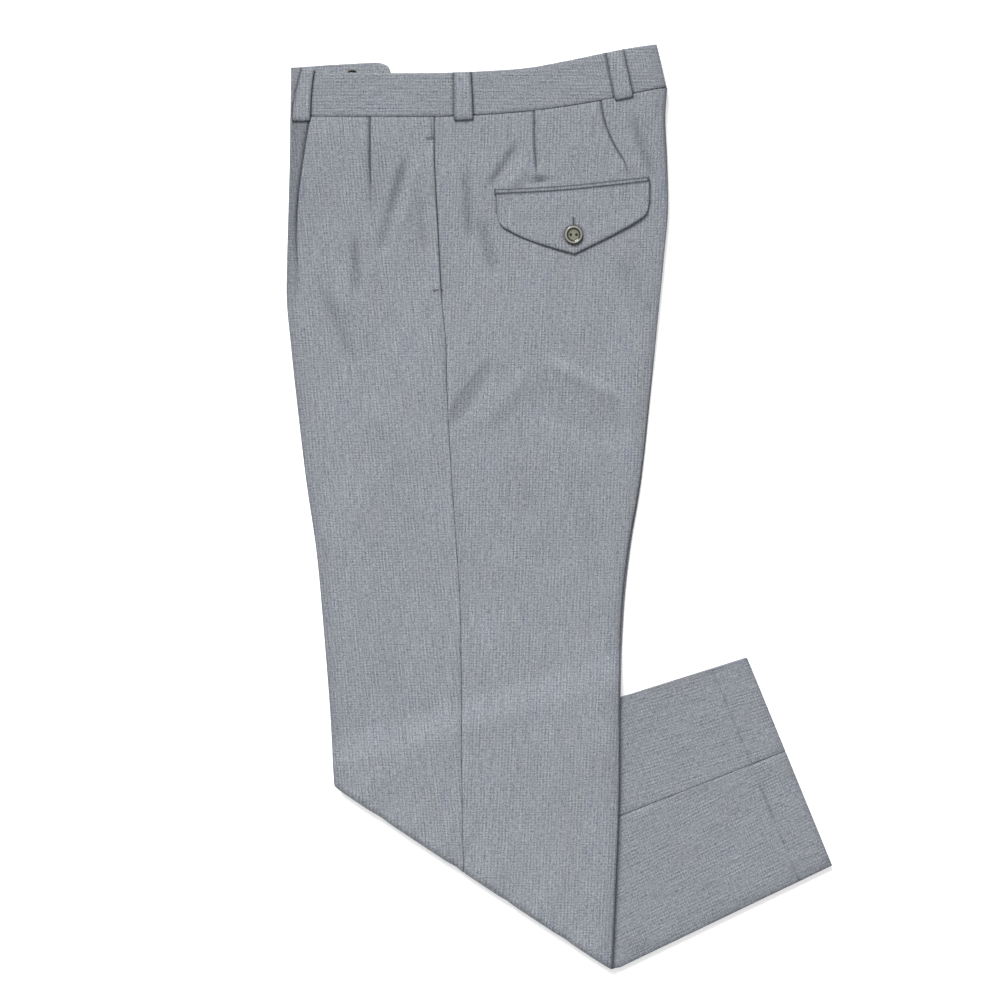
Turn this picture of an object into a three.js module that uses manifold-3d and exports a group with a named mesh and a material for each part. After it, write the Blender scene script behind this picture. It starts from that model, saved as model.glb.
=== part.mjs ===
import * as THREE from 'three';
import * as BufferGeometryUtils from 'three/addons/utils/BufferGeometryUtils.js';
import Module from 'manifold-3d';

// Pleated dress trousers laid flat. They are folded in half, the left leg lying on the right
// one with its outer side up, and both lower legs are folded back under on a slant, so that
// they come out at the right with the right leg's outer side up.
// Millimetres, +Z up, resting on z = 0.
//
// Each cloth piece is drawn on the unfolded garment. There x runs from the front edge towards
// the back edge, down runs from the side waist seam towards the hem, and height is the level
// in the stack of layers, from 0 at the right leg's outer side. place() folds it up.

// ---------------------------------------------------------------- thickness of the layers

const CLOTH = 1;
const BAND_CLOTH = 1.6;
const SEAM_GAP = 0.3;
const LEG_STACK = 6.4;
const WAIST_STACK = 10;
const WAIST_TAPER = 250;
const LOOP_ROOM = 2.8;
const LOOP_ROOM_TAPER = 130;
const PANEL_CROWN = 2.6;
const CROWN_FADE = 220;
const WAIST_CROWN_SHARE = 0.35;

// ---------------------------------------------------------------- the cut

// Front edge, side seam and back edge of the pressed garment at each level. The right leg
// stands out by `under` beyond the left one's back edge.
const LEG_SHAPE = [
  { down: -28, front: 5.0, seam: 142.0, back: 362.5, under: 1.0 },
  { down: 0, front: 4.8, seam: 142.0, back: 360.5, under: 1.2 },
  { down: 41, front: 4.3, seam: 142.0, back: 362.4, under: 1.2 },
  { down: 88, front: 2.9, seam: 144.4, back: 364.0, under: 0.4 },
  { down: 136, front: 1.5, seam: 146.8, back: 360.0, under: 0 },
  { down: 174, front: 1.2, seam: 149.0, back: 356.3, under: 0 },
  { down: 212, front: 4.6, seam: 152.6, back: 352.5, under: 0.3 },
  { down: 259, front: 9.5, seam: 153.9, back: 347.2, under: 1.0 },
  { down: 345, front: 19.6, seam: 158.5, back: 337.3, under: 1.8 },
  { down: 411, front: 29.2, seam: 163.2, back: 325.9, under: 2.6 },
  { down: 468, front: 34.7, seam: 166.6, back: 319.7, under: 2.8 },
  { down: 554, front: 41.6, seam: 167.7, back: 317.3, under: 1.5 },
  { down: 637, front: 47.0, seam: 168.2, back: 317.3, under: 0.3 },
  { down: 715, front: 55.0, seam: 170.0, back: 314.5, under: 0.8 },
  { down: 810, front: 63.6, seam: 175.8, back: 310.2, under: 1.2 },
  { down: 1050, front: 87.2, seam: 183.6, back: 299.8, under: 1.0 },
];
const HEM_FRONT = { x: 86.8, down: 1047 };
const HEM_BACK = { x: 299.8, down: 1044 };

// The waistband between its seam and its top edge. Up is measured against down.
const BAND_SHAPE = [
  { x: 5, seamUp: 0, topX: 5.5, topUp: 46.4 },
  { x: 15, seamUp: 0, topX: 15, topUp: 45.8 },
  { x: 30, seamUp: 0, topX: 30, topUp: 43 },
  { x: 57, seamUp: 0, topX: 57, topUp: 41.3 },
  { x: 100, seamUp: 0, topX: 100, topUp: 40.9 },
  { x: 150, seamUp: 0.2, topX: 150, topUp: 41.2 },
  { x: 190, seamUp: 2, topX: 188, topUp: 42.7 },
  { x: 236, seamUp: 5.7, topX: 230, topUp: 45.8 },
  { x: 274, seamUp: 11, topX: 265, topUp: 52 },
  { x: 313, seamUp: 18, topX: 304, topUp: 60.1 },
  { x: 338.5, seamUp: 23.7, topX: 329.8, topUp: 65.1 },
  { x: 362.5, seamUp: 28.5, topX: 353.4, topUp: 68.4 },
];
const BAND_PROUD = 0.5;
const BAND_LIP = 15;

// The left band's front extension, folded back behind it, with one rounded top corner.
const TAB_SHAPE = [
  { x: 5, topUp: 46.6 },
  { x: 40, topUp: 48.9 },
  { x: 80, topUp: 51.2 },
  { x: 92, topUp: 50.9 },
  { x: 97, topUp: 48.6 },
  { x: 100, topUp: 44.8 },
  { x: 100.7, topUp: 41.5 },
];
const TAB_LENGTH = 100.7;
const TAB_BOTTOM_UP = 1.5;

// ---------------------------------------------------------------- the slanting fold

const FOLD_FRONT = { x: 47.0, down: 637.5 };
const FOLD_BACK = { x: 311.6, down: 812.3 };
const FOLD_LENGTH = Math.hypot(FOLD_BACK.x - FOLD_FRONT.x, FOLD_BACK.down - FOLD_FRONT.down);
const FOLD_NORMAL = {
  x: -(FOLD_BACK.down - FOLD_FRONT.down) / FOLD_LENGTH,
  down: (FOLD_BACK.x - FOLD_FRONT.x) / FOLD_LENGTH,
};
const BEND_RADIUS = LEG_STACK + SEAM_GAP / 2;

// The upper part climbs on to the folded legs between these two lines.
const CLIMB_START = lineThrough({ x: 43, down: 590 }, { x: 321, down: 503 });
const CLIMB_END = lineThrough({ x: 46, down: 622 }, { x: 316, down: 541 });

// ---------------------------------------------------------------- creases, pleats, pocket

const CREASE_LIP = 24;
const CREASE_STEPS = 4;
const OPEN_HEM_LENGTH = 60;
const PLEAT_EDGE = 0.4;
const PLEATS = {
  first: { fromEdgeTop: 20, fromEdgeEnd: 10, settles: 100, length: 178, raise: 1.2 },
  second: { share: 0.5625, fadeShare: 0.8, length: 90, raise: 1.0 },
};
const SIDE_POCKET = { top: 45, bottom: 166, inset: 8, raise: 0.7, runOut: 10 };

const POCKET_WELT = {
  depth: 3.8,
  line: [
    { x: 199, down: 69.3 },
    { x: 235, down: 67.8 },
    { x: 272, down: 65.3 },
    { x: 308, down: 61.5 },
    { x: 345, down: 57.3 },
  ],
};
const POCKET_FLAP = [
  { x: 200.5, bottom: 90 },
  { x: 204, bottom: 101.5 },
  { x: 213, bottom: 108.3 },
  { x: 231, bottom: 116.9 },
  { x: 254.6, bottom: 124.5 },
  { x: 275, bottom: 130.2 },
  { x: 288.8, bottom: 123.5 },
  { x: 311.6, bottom: 112.1 },
  { x: 336.3, bottom: 97.9 },
  { x: 344, bottom: 90.3 },
  { x: 346.5, bottom: 79 },
];
const TRIM_CLOTH = 1.2;

const BUTTON = { x: 274.1, down: 112.1, radius: 8.5, thick: 2.4, holeApart: 5.4, holeRadius: 1.1 };

const LOOP = { thick: 1.1, below: 4, bow: 0.6, footClear: 0.5 };
const LOOPS = [
  { name: 'front', x: 14.8, width: 17.6 },
  { name: 'side', x: 170.2, width: 16 },
  { name: 'back', x: 321.5, width: 16.5 },
];

const HOOK = { x: 58, width: 11.4, topUp: 43.8, height: 13, plate: 0.45, opening: 0.35 };

// ---------------------------------------------------------------- small tools

function clamp01(value) {
  return Math.min(1, Math.max(0, value));
}

function ease(value) {
  const t = clamp01(value);
  return t * t * (3 - 2 * t);
}

function mix(a, b, t) {
  return a + (b - a) * t;
}

function lineThrough(a, b) {
  return (x) => mix(a.down, b.down, (x - a.x) / (b.x - a.x));
}

// Reads a column of a table at a value of its key column, on a smooth curve through the rows.
function readTable(table, key, value, column) {
  const last = table.length - 1;
  const clipped = Math.min(table[last][key], Math.max(table[0][key], value));
  let i = 0;
  while (i < last - 1 && table[i + 1][key] < clipped) {
    i += 1;
  }
  const before = table[Math.max(0, i - 1)];
  const start = table[i];
  const end = table[i + 1];
  const after = table[Math.min(last, i + 2)];
  const span = end[key] - start[key];
  const t = (clipped - start[key]) / span;
  const startSlope = ((end[column] - before[column]) / (end[key] - before[key])) * span;
  const endSlope = ((after[column] - start[column]) / (after[key] - start[key])) * span;
  return start[column] * (1 + 2 * t) * (1 - t) ** 2
    + startSlope * t * (1 - t) ** 2
    + end[column] * t * t * (3 - 2 * t)
    - endSlope * t * t * (1 - t);
}

const legAt = (down, column) => readTable(LEG_SHAPE, 'down', down, column);
const bandAt = (x, column) => readTable(BAND_SHAPE, 'x', x, column);
const tabTopAt = (x) => readTable(TAB_SHAPE, 'x', x, 'topUp');

// ---------------------------------------------------------------- stack, lift and fold

function belowWaist(x, down) {
  return Math.max(0, down + bandAt(x, 'seamUp'));
}

function stackAt(x, down) {
  const share = (1 + Math.cos(Math.PI * clamp01(belowWaist(x, down) / WAIST_TAPER))) / 2;
  return mix(LEG_STACK, WAIST_STACK, share);
}

function liftAt(x, down) {
  const loopShare = (1 + Math.cos(Math.PI * clamp01(belowWaist(x, down) / LOOP_ROOM_TAPER))) / 2;
  const climb = (down - CLIMB_START(x)) / (CLIMB_END(x) - CLIMB_START(x));
  return LOOP_ROOM * loopShare + (LEG_STACK + SEAM_GAP) * ease(climb);
}

function crownAt(x, down) {
  const front = legAt(down, 'front');
  const across = clamp01((x - front) / (legAt(down, 'back') - front));
  const fromWaist = mix(WAIST_CROWN_SHARE, 1, ease(belowWaist(x, down) / CROWN_FADE));
  const toClimb = ease((CLIMB_START(x) - down) / CROWN_FADE);
  return PANEL_CROWN * 4 * across * (1 - across) * fromWaist * toClimb;
}

// Takes a point of the unfolded garment to its place in the folded one. Layers turn round
// the slanting fold on arcs about one axis, the left leg's outer side on the widest.
function place(x, down, height) {
  const past = (x - FOLD_FRONT.x) * FOLD_NORMAL.x
    + (down - FOLD_FRONT.down) * FOLD_NORMAL.down
    + BEND_RADIUS;
  if (past <= 0) {
    const raised = height * (1 + crownAt(x, down) / stackAt(x, down));
    return new THREE.Vector3(x, -down, liftAt(x, down) + raised);
  }
  const turn = Math.PI * clamp01(past / (2 * BEND_RADIUS));
  const radius = height + SEAM_GAP / 2;
  const out = past < 2 * BEND_RADIUS ? radius * Math.sin(turn) : 2 * BEND_RADIUS - past;
  return new THREE.Vector3(
    x + FOLD_NORMAL.x * (out - past),
    -(down + FOLD_NORMAL.down * (out - past)),
    BEND_RADIUS + radius * Math.cos(turn),
  );
}

// Depth is measured in from a leg's own outer side.
function placeOnLeg(leg, x, down, depth) {
  const height = leg === 'left' ? stackAt(x, down) - depth : depth;
  return place(x, down, height);
}

// ---------------------------------------------------------------- closed cloth walls

// Two grids of points, [row][column], become the two faces of one closed wall.
function closedWall(faceA, faceB) {
  const rows = faceA.length;
  const columns = faceA[0].length;
  const positions = [];
  for (const face of [faceA, faceB]) {
    for (const point of face.flat()) {
      positions.push(point.x, point.y, point.z);
    }
  }
  const a = (row, column) => row * columns + column;
  const b = (row, column) => rows * columns + row * columns + column;
  const index = [];
  const quad = (p, q, r, s) => index.push(p, q, r, p, r, s);
  for (let row = 0; row < rows - 1; row += 1) {
    for (let column = 0; column < columns - 1; column += 1) {
      quad(a(row, column), a(row, column + 1), a(row + 1, column + 1), a(row + 1, column));
      quad(b(row, column), b(row + 1, column), b(row + 1, column + 1), b(row, column + 1));
    }
    quad(a(row, 0), a(row + 1, 0), b(row + 1, 0), b(row, 0));
    quad(a(row, columns - 1), b(row, columns - 1), b(row + 1, columns - 1), a(row + 1, columns - 1));
  }
  for (let column = 0; column < columns - 1; column += 1) {
    quad(a(0, column), b(0, column), b(0, column + 1), a(0, column + 1));
    quad(a(rows - 1, column), a(rows - 1, column + 1), b(rows - 1, column + 1), b(rows - 1, column));
  }
  const geometry = new THREE.BufferGeometry();
  geometry.setAttribute('position', new THREE.Float32BufferAttribute(positions, 3));
  geometry.setIndex(signedVolume(positions, index) < 0 ? index.reverse() : index);
  geometry.computeVertexNormals();
  return geometry;
}

function signedVolume(positions, index) {
  const corner = (i) => new THREE.Vector3().fromArray(positions, index[i] * 3);
  let total = 0;
  for (let i = 0; i < index.length; i += 3) {
    total += corner(i).dot(corner(i + 1).cross(corner(i + 2)));
  }
  return total;
}

// ---------------------------------------------------------------- rows from waist to hem

const offsetFold = (distance) => lineThrough(
  { x: FOLD_FRONT.x + FOLD_NORMAL.x * distance, down: FOLD_FRONT.down + FOLD_NORMAL.down * distance },
  { x: FOLD_BACK.x + FOLD_NORMAL.x * distance, down: FOLD_BACK.down + FOLD_NORMAL.down * distance },
);
const waistLine = (x) => SEAM_GAP / 2 - bandAt(x, 'seamUp');
const hemLine = lineThrough(HEM_FRONT, HEM_BACK);
const openHemLine = (x) => hemLine(x) - OPEN_HEM_LENGTH;

function evenly(count) {
  return Array.from({ length: count }, (_, i) => (i + 1) / count);
}

// Each stretch ends on a line across the garment. The rows between turn gradually from the
// last line to the next.
const STRETCHES = [
  { end: CLIMB_START, shares: [0.03, 0.08, 0.15, 0.23, 0.31, 0.4, 0.52, 0.64, 0.76, 0.88, 1] },
  { end: CLIMB_END, shares: evenly(4) },
  { end: offsetFold(-BEND_RADIUS), shares: evenly(3) },
  { end: offsetFold(BEND_RADIUS), shares: evenly(8) },
  { end: openHemLine, shares: evenly(4) },
  { end: hemLine, shares: evenly(2) },
];

function makeRows() {
  const rows = [{ line: waistLine, openHem: false }];
  let start = waistLine;
  for (const { end, shares } of STRETCHES) {
    const from = start;
    for (const share of shares) {
      const line = (x) => mix(from(x), end(x), share);
      rows.push({ line, openHem: end === hemLine });
    }
    start = end;
  }
  return rows;
}

const ROWS = makeRows();

// Where a row meets one of the long edges, which are steep against it.
function meet(line, column) {
  let x = LEG_SHAPE[0][column];
  for (let i = 0; i < 8; i += 1) {
    x = legAt(line(x), column);
  }
  return x;
}

function rowEdges(line, leg) {
  const back = meet(line, 'back');
  const under = leg === 'right' ? legAt(line(back), 'under') : 0;
  return { front: meet(line, 'front'), seam: meet(line, 'seam'), back: back + under };
}

// ---------------------------------------------------------------- the four leg panels

function pleatFromEdge(down) {
  const { fromEdgeTop, fromEdgeEnd, settles } = PLEATS.first;
  return mix(fromEdgeTop, fromEdgeEnd, clamp01(down / settles));
}

function fading(down, length) {
  return 1 - ease(down / length);
}

// The flat columns of a front panel from its side seam to its crease, with how far each
// stands out where a pleat or the pocket's edge lies.
function frontColumns(edges, down, rc) {
  const width = edges.seam - edges.front;
  const firstPleat = edges.front + pleatFromEdge(down);
  const secondPleat = edges.front + width * PLEATS.second.share;
  const firstRaise = PLEATS.first.raise * fading(down, PLEATS.first.length);
  const secondRaise = PLEATS.second.raise * fading(down, PLEATS.second.length);
  const { top, bottom, inset, raise, runOut } = SIDE_POCKET;
  const inPocket = ease((down - top + runOut) / runOut) * ease((bottom + runOut - down) / runOut);
  return [
    { x: edges.seam - SEAM_GAP / 2, raise: raise * inPocket },
    { x: edges.seam - inset, raise: 0 },
    { x: edges.front + width * PLEATS.second.fadeShare, raise: 0 },
    { x: secondPleat + PLEAT_EDGE, raise: secondRaise },
    { x: secondPleat - PLEAT_EDGE, raise: 0 },
    { x: edges.front + CREASE_LIP, raise: firstRaise / 2 },
    { x: firstPleat + PLEAT_EDGE, raise: firstRaise },
    { x: firstPleat - PLEAT_EDGE, raise: 0 },
    { x: edges.front + rc, raise: 0 },
  ];
}

// A back panel's columns start from the band's own, so that the two meet along one line.
const BACK_SHARES = BAND_SHAPE
  .map(({ x }) => (x - LEG_SHAPE[0].seam) / (LEG_SHAPE[0].back - LEG_SHAPE[0].seam))
  .filter((share) => share > 0.1 && share < 0.85);

const backAcross = (edges) => BACK_SHARES.map((share) => mix(edges.seam, edges.back, share));

function backColumns(edges, rc) {
  const across = [
    edges.seam + SEAM_GAP / 2,
    ...backAcross(edges),
    edges.back - CREASE_LIP,
    edges.back - rc,
  ];
  return across.map((x) => ({ x, raise: 0 }));
}

// One row of a panel: flat from the side seam, half round at the crease, then a lip under it.
function panelRow(row, leg, half) {
  const edges = rowEdges(row.line, leg);
  const edge = edges[half];
  const towardsEdge = half === 'front' ? -1 : 1;
  const down = row.line(edge);
  const rc = (stackAt(edge, down) - SEAM_GAP) / 4;
  const columns = half === 'front' ? frontColumns(edges, down, rc) : backColumns(edges, rc);
  const outer = [];
  const inner = [];
  const add = (face, x, depth) => face.push(placeOnLeg(leg, x, row.line(x), depth));
  for (const { x, raise } of columns) {
    const room = leg === 'left' ? raise : Math.min(raise, liftAt(x, row.line(x)) / 2);
    add(outer, x, -room);
    add(inner, x, CLOTH);
  }
  const centre = edge - towardsEdge * rc;
  for (let step = 1; step <= CREASE_STEPS; step += 1) {
    const angle = (Math.PI * step) / CREASE_STEPS;
    add(outer, centre + towardsEdge * rc * Math.sin(angle), rc - rc * Math.cos(angle));
    const innerRadius = rc - CLOTH;
    add(inner, centre + towardsEdge * innerRadius * Math.sin(angle), rc - innerRadius * Math.cos(angle));
  }
  const inseam = edges.seam + towardsEdge * (SEAM_GAP / 2);
  const lipEnd = row.openHem ? inseam : edge - towardsEdge * CREASE_LIP;
  add(outer, lipEnd, 2 * rc);
  add(inner, lipEnd, 2 * rc - CLOTH);
  return { outer, inner };
}

function legPanel(leg, half) {
  const sections = ROWS.map((row) => panelRow(row, leg, half));
  return closedWall(sections.map(({ outer }) => outer), sections.map(({ inner }) => inner));
}

// ---------------------------------------------------------------- the layers between

const CORE_ROUND = 2.4;
const CORE_SIDE = 0.5;
const CORE_SHORT = 1;

// One solid for the inner legs, pockets and fly, between the four panels and their lips.
function innerLayers() {
  const lastIndex = ROWS.findIndex(({ openHem }) => openHem) - 1;
  const lines = ROWS.slice(1, lastIndex).map(({ line }) => line);
  lines.push((x) => openHemLine(x) - CORE_SHORT);
  const clear = CLOTH + SEAM_GAP;
  const top = [];
  const bottom = [];
  for (const line of lines) {
    const edges = rowEdges(line, 'left');
    const frontDown = line(edges.front);
    const flat = [
      edges.front + CREASE_LIP + SEAM_GAP + CORE_ROUND,
      edges.front + (edges.seam - edges.front) * PLEATS.second.share,
      edges.front + (edges.seam - edges.front) * PLEATS.second.fadeShare,
      edges.seam,
      ...backAcross(edges),
      edges.back - CREASE_LIP - SEAM_GAP - CORE_ROUND,
    ];
    const middle = stackAt(edges.front, frontDown) / 2;
    const side = (x, height) => place(x, line(x), height);
    const frontSide = flat[0] - CORE_ROUND;
    const backSide = flat[flat.length - 1] + CORE_ROUND;
    top.push([
      side(frontSide, middle + CORE_SIDE),
      ...flat.map((x) => placeOnLeg('left', x, line(x), clear)),
      side(backSide, middle + CORE_SIDE),
    ]);
    bottom.push([
      side(frontSide, middle - CORE_SIDE),
      ...flat.map((x) => placeOnLeg('right', x, line(x), clear)),
      side(backSide, middle - CORE_SIDE),
    ]);
  }
  return closedWall(top, bottom);
}

// ---------------------------------------------------------------- waistband

// A column of the band, from just above its seam to its top edge.
function bandColumn(leg, x, depth, topUp, bottomUp) {
  const topX = bandAt(x, 'topX');
  return [
    placeOnLeg(leg, x, -bottomUp, depth),
    placeOnLeg(leg, topX, -topUp, depth),
  ];
}

function waistband(leg) {
  const rc = (WAIST_STACK - SEAM_GAP) / 4;
  const radius = rc + BAND_PROUD / 2;
  const front = BAND_SHAPE[0].x;
  const back = BAND_SHAPE[BAND_SHAPE.length - 1].x;
  const outer = [];
  const inner = [];
  const addBand = (face, x, depth) => {
    face.push(bandColumn(leg, x, depth, bandAt(x, 'topUp'), bandAt(x, 'seamUp') + SEAM_GAP / 2));
  };
  const addTab = (face, x, depth) => {
    face.push(bandColumn(leg, x, depth, tabTopAt(x), TAB_BOTTOM_UP));
  };
  const addTurn = (edge, towardsEdge, angle, add) => {
    const x = (r) => edge - towardsEdge * (radius - r * Math.sin(angle));
    const depth = (r) => radius - BAND_PROUD - r * Math.cos(angle);
    add(outer, x(radius), depth(radius));
    add(inner, x(radius - BAND_CLOTH), depth(radius - BAND_CLOTH));
  };
  addBand(outer, back - BAND_LIP, 2 * rc);
  addBand(inner, back - BAND_LIP, 2 * rc - BAND_CLOTH);
  for (let step = CREASE_STEPS; step >= 0; step -= 1) {
    addTurn(back, 1, (Math.PI * step) / CREASE_STEPS, addBand);
  }
  for (const { x } of BAND_SHAPE.slice(1, -1).reverse()) {
    addBand(outer, x, -BAND_PROUD);
    addBand(inner, x, BAND_CLOTH - BAND_PROUD);
  }
  for (let step = 0; step < CREASE_STEPS; step += 1) {
    addTurn(front, -1, (Math.PI * step) / CREASE_STEPS, addBand);
  }
  if (leg === 'left') {
    addTurn(front, -1, Math.PI, addTab);
    for (const { x } of TAB_SHAPE.slice(1)) {
      addTab(outer, x, 2 * rc);
      addTab(inner, x, 2 * rc - BAND_CLOTH);
    }
  } else {
    addTurn(front, -1, Math.PI, addBand);
    addBand(outer, front + BAND_LIP, 2 * rc);
    addBand(inner, front + BAND_LIP, 2 * rc - BAND_CLOTH);
  }
  return closedWall(outer, inner);
}

// ---------------------------------------------------------------- belt loops

// A strip over the band, sewn down just under its seam and at its top edge.
function beltLoop(leg, x, width) {
  const clear = SEAM_GAP + BAND_PROUD;
  const stations = [
    { share: -LOOP.below / bandAt(x, 'topUp'), out: LOOP.footClear },
    { share: -0.02, out: clear },
    { share: 0.12, out: clear + LOOP.bow / 2 },
    { share: 0.5, out: clear + LOOP.bow },
    { share: 0.88, out: clear + LOOP.bow / 2 },
    { share: 1, out: clear },
  ];
  const outer = [];
  const inner = [];
  for (const { share, out } of stations) {
    const rowAt = (depth) => [-1, 0, 1].map((side) => {
      const foot = x + (side * width) / 2;
      const across = mix(foot, bandAt(foot, 'topX'), share);
      const up = mix(bandAt(foot, 'seamUp'), bandAt(foot, 'topUp'), share);
      return placeOnLeg(leg, across, -up, depth);
    });
    outer.push(rowAt(-out - LOOP.thick));
    inner.push(rowAt(-out));
  }
  return closedWall(outer, inner);
}

// ---------------------------------------------------------------- back pocket

// A flat trim piece on the left back panel, between two lines across it.
function trimPiece(columns, topAt, bottomAt, shares) {
  const face = (depth) => shares.map((share) => columns.map((x) => {
    return placeOnLeg('left', x, mix(topAt(x), bottomAt(x), share), -depth);
  }));
  return closedWall(face(SEAM_GAP + TRIM_CLOTH), face(SEAM_GAP));
}

const weltTop = (x) => readTable(POCKET_WELT.line, 'x', x, 'down');
const weltBottom = (x) => weltTop(x) + POCKET_WELT.depth;

function pocketWelt() {
  return trimPiece(POCKET_WELT.line.map(({ x }) => x), weltTop, weltBottom, [0, 1]);
}

function pocketFlap() {
  const bottoms = new Map(POCKET_FLAP.map(({ x, bottom }) => [x, bottom]));
  const topAt = (x) => weltBottom(x) + SEAM_GAP;
  return trimPiece([...bottoms.keys()], topAt, (x) => bottoms.get(x), [0, 0.5, 1]);
}

// ---------------------------------------------------------------- button and hook

const wasm = await Module();
wasm.setup();

function toSolid(geometry) {
  const plain = geometry.clone();
  plain.deleteAttribute('normal');
  plain.deleteAttribute('uv');
  const merged = BufferGeometryUtils.mergeVertices(plain, 1e-4);
  return new wasm.Manifold(new wasm.Mesh({
    numProp: 3,
    vertProperties: merged.attributes.position.array,
    triVerts: Uint32Array.from(merged.index.array),
  }));
}

function toGeometry(solid) {
  const mesh = solid.getMesh();
  const geometry = new THREE.BufferGeometry();
  geometry.setAttribute('position', new THREE.Float32BufferAttribute(mesh.vertProperties, 3));
  geometry.setIndex(Array.from(mesh.triVerts));
  geometry.computeVertexNormals();
  return geometry;
}

// A dished button with a rounded rim and two thread holes, its axis along +Z, on z = 0.
function buttonGeometry() {
  const { radius, thick, holeApart, holeRadius } = BUTTON;
  const profile = [
    [0, 0], [radius * 0.8, 0], [radius, thick * 0.4], [radius * 0.97, thick * 0.8],
    [radius * 0.86, thick], [radius * 0.74, thick * 0.94], [radius * 0.6, thick * 0.7], [0, thick * 0.66],
  ];
  const disc = new THREE.LatheGeometry(profile.map(([r, z]) => new THREE.Vector2(r, z)), 32);
  disc.rotateX(Math.PI / 2);
  let solid = toSolid(disc);
  for (const side of [-1, 1]) {
    const drill = new THREE.CylinderGeometry(holeRadius, holeRadius, thick * 3, 12);
    drill.rotateX(Math.PI / 2);
    drill.translate((side * holeApart) / 2, 0, 0);
    solid = solid.subtract(toSolid(drill));
  }
  return toGeometry(solid);
}

// A flat trouser hook, bent back on itself, open towards the back.
function hookGeometry() {
  const { width, height, plate, opening } = HOOK;
  const full = plate * 2 + opening;
  const outline = [
    [0, 0], [width, 0], [width, plate], [plate * 2, plate], [plate, plate + opening / 2],
    [plate * 2, plate + opening], [width * 0.62, plate + opening], [width * 0.62, full],
    [plate, full], [0, full * 0.7], [0, full * 0.3],
  ];
  const shape = new THREE.Shape(outline.map(([x, z]) => new THREE.Vector2(x, z)));
  const geometry = new THREE.ExtrudeGeometry(shape, { depth: height, bevelEnabled: false, steps: 1 });
  geometry.rotateX(Math.PI / 2);
  return geometry;
}

// ---------------------------------------------------------------- materials and assembly

const CLOTH_COLOUR = 0x93979e;

function cloth() {
  return new THREE.MeshStandardMaterial({ color: CLOTH_COLOUR, roughness: 0.9, metalness: 0 });
}

function horn() {
  return new THREE.MeshStandardMaterial({ color: 0x55564f, roughness: 0.3, metalness: 0 });
}

function brass() {
  return new THREE.MeshStandardMaterial({ color: 0xb8964f, roughness: 0.35, metalness: 1 });
}

function named(name, geometry, material) {
  const mesh = new THREE.Mesh(geometry, material);
  mesh.name = name;
  return mesh;
}

const trousers = new THREE.Group();
for (const leg of ['left', 'right']) {
  trousers.add(named(`${leg}_front_panel`, legPanel(leg, 'front'), cloth()));
  trousers.add(named(`${leg}_back_panel`, legPanel(leg, 'back'), cloth()));
  trousers.add(named(`${leg}_waistband`, waistband(leg), cloth()));
  for (const { name, x, width } of LOOPS) {
    trousers.add(named(`${leg}_belt_loop_${name}`, beltLoop(leg, x, width), cloth()));
  }
}
trousers.add(named('inner_layers', innerLayers(), cloth()));
trousers.add(named('back_pocket_welt', pocketWelt(), cloth()));
trousers.add(named('back_pocket_flap', pocketFlap(), cloth()));

const button = named('back_pocket_button', buttonGeometry(), horn());
const seat = placeOnLeg('left', BUTTON.x, BUTTON.down, -(2 * SEAM_GAP + TRIM_CLOTH));
const seatAcross = placeOnLeg('left', BUTTON.x + BUTTON.radius, BUTTON.down, -(2 * SEAM_GAP + TRIM_CLOTH));
const seatAlong = placeOnLeg('left', BUTTON.x, BUTTON.down - BUTTON.radius, -(2 * SEAM_GAP + TRIM_CLOTH));
const seatNormal = seatAcross.sub(seat).cross(seatAlong.sub(seat)).normalize();
button.position.copy(seat);
button.quaternion.setFromUnitVectors(new THREE.Vector3(0, 0, 1), seatNormal);
trousers.add(button);

const hook = named('trouser_hook', hookGeometry(), brass());
const tabFaceDepth = (WAIST_STACK - SEAM_GAP) / 2 - BAND_CLOTH;
const hookSeat = placeOnLeg('left', HOOK.x, -HOOK.topUp, tabFaceDepth - SEAM_GAP);
hook.position.set(hookSeat.x, hookSeat.y, hookSeat.z);
trousers.add(hook);

// The origin is under the middle of the garment, on the surface it lies on.
const bounds = new THREE.Box3().setFromObject(trousers);
const middle = bounds.getCenter(new THREE.Vector3());
trousers.position.set(-middle.x, -middle.y, -bounds.min.z);

export default trousers;
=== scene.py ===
# %% [markdown]
# # Pleated dress trousers, folded in half and laid flat
#
# A pair of wool dress trousers is pressed along its creases and folded in half, so that one
# leg lies on the other. Here both lower legs are folded back under on a slant. The packed
# frame gives every piece its place. This script cuts the same pieces again as fine cloth,
# with pleats, darts, pocket, seams and soft creases, and gives them a woven finish.

import math

import bpy
import numpy as np
from mathutils import Matrix, Vector


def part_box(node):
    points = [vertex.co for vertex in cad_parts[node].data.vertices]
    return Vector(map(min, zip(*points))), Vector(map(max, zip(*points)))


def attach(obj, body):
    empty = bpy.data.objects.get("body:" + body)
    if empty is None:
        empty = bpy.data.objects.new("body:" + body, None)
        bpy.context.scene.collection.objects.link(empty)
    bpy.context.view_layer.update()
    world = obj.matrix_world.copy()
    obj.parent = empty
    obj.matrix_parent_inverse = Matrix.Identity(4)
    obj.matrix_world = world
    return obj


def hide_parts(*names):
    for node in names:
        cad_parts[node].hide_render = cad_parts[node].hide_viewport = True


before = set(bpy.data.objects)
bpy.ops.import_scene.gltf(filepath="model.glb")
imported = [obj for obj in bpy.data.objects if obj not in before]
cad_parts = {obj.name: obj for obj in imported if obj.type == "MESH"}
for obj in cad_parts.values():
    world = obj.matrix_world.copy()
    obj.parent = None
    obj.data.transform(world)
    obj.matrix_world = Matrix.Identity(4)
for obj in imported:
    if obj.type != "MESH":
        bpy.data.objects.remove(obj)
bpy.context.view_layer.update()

# %% [markdown]
# The cloth is drawn on the unfolded garment in millimetres: x runs from the front edge to the
# seat, down runs from the side waist seam to the hem. The tables are the cut of the garment.
# A smooth curve through a few measured rows is how a tailor draws a seam on paper too.

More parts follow.
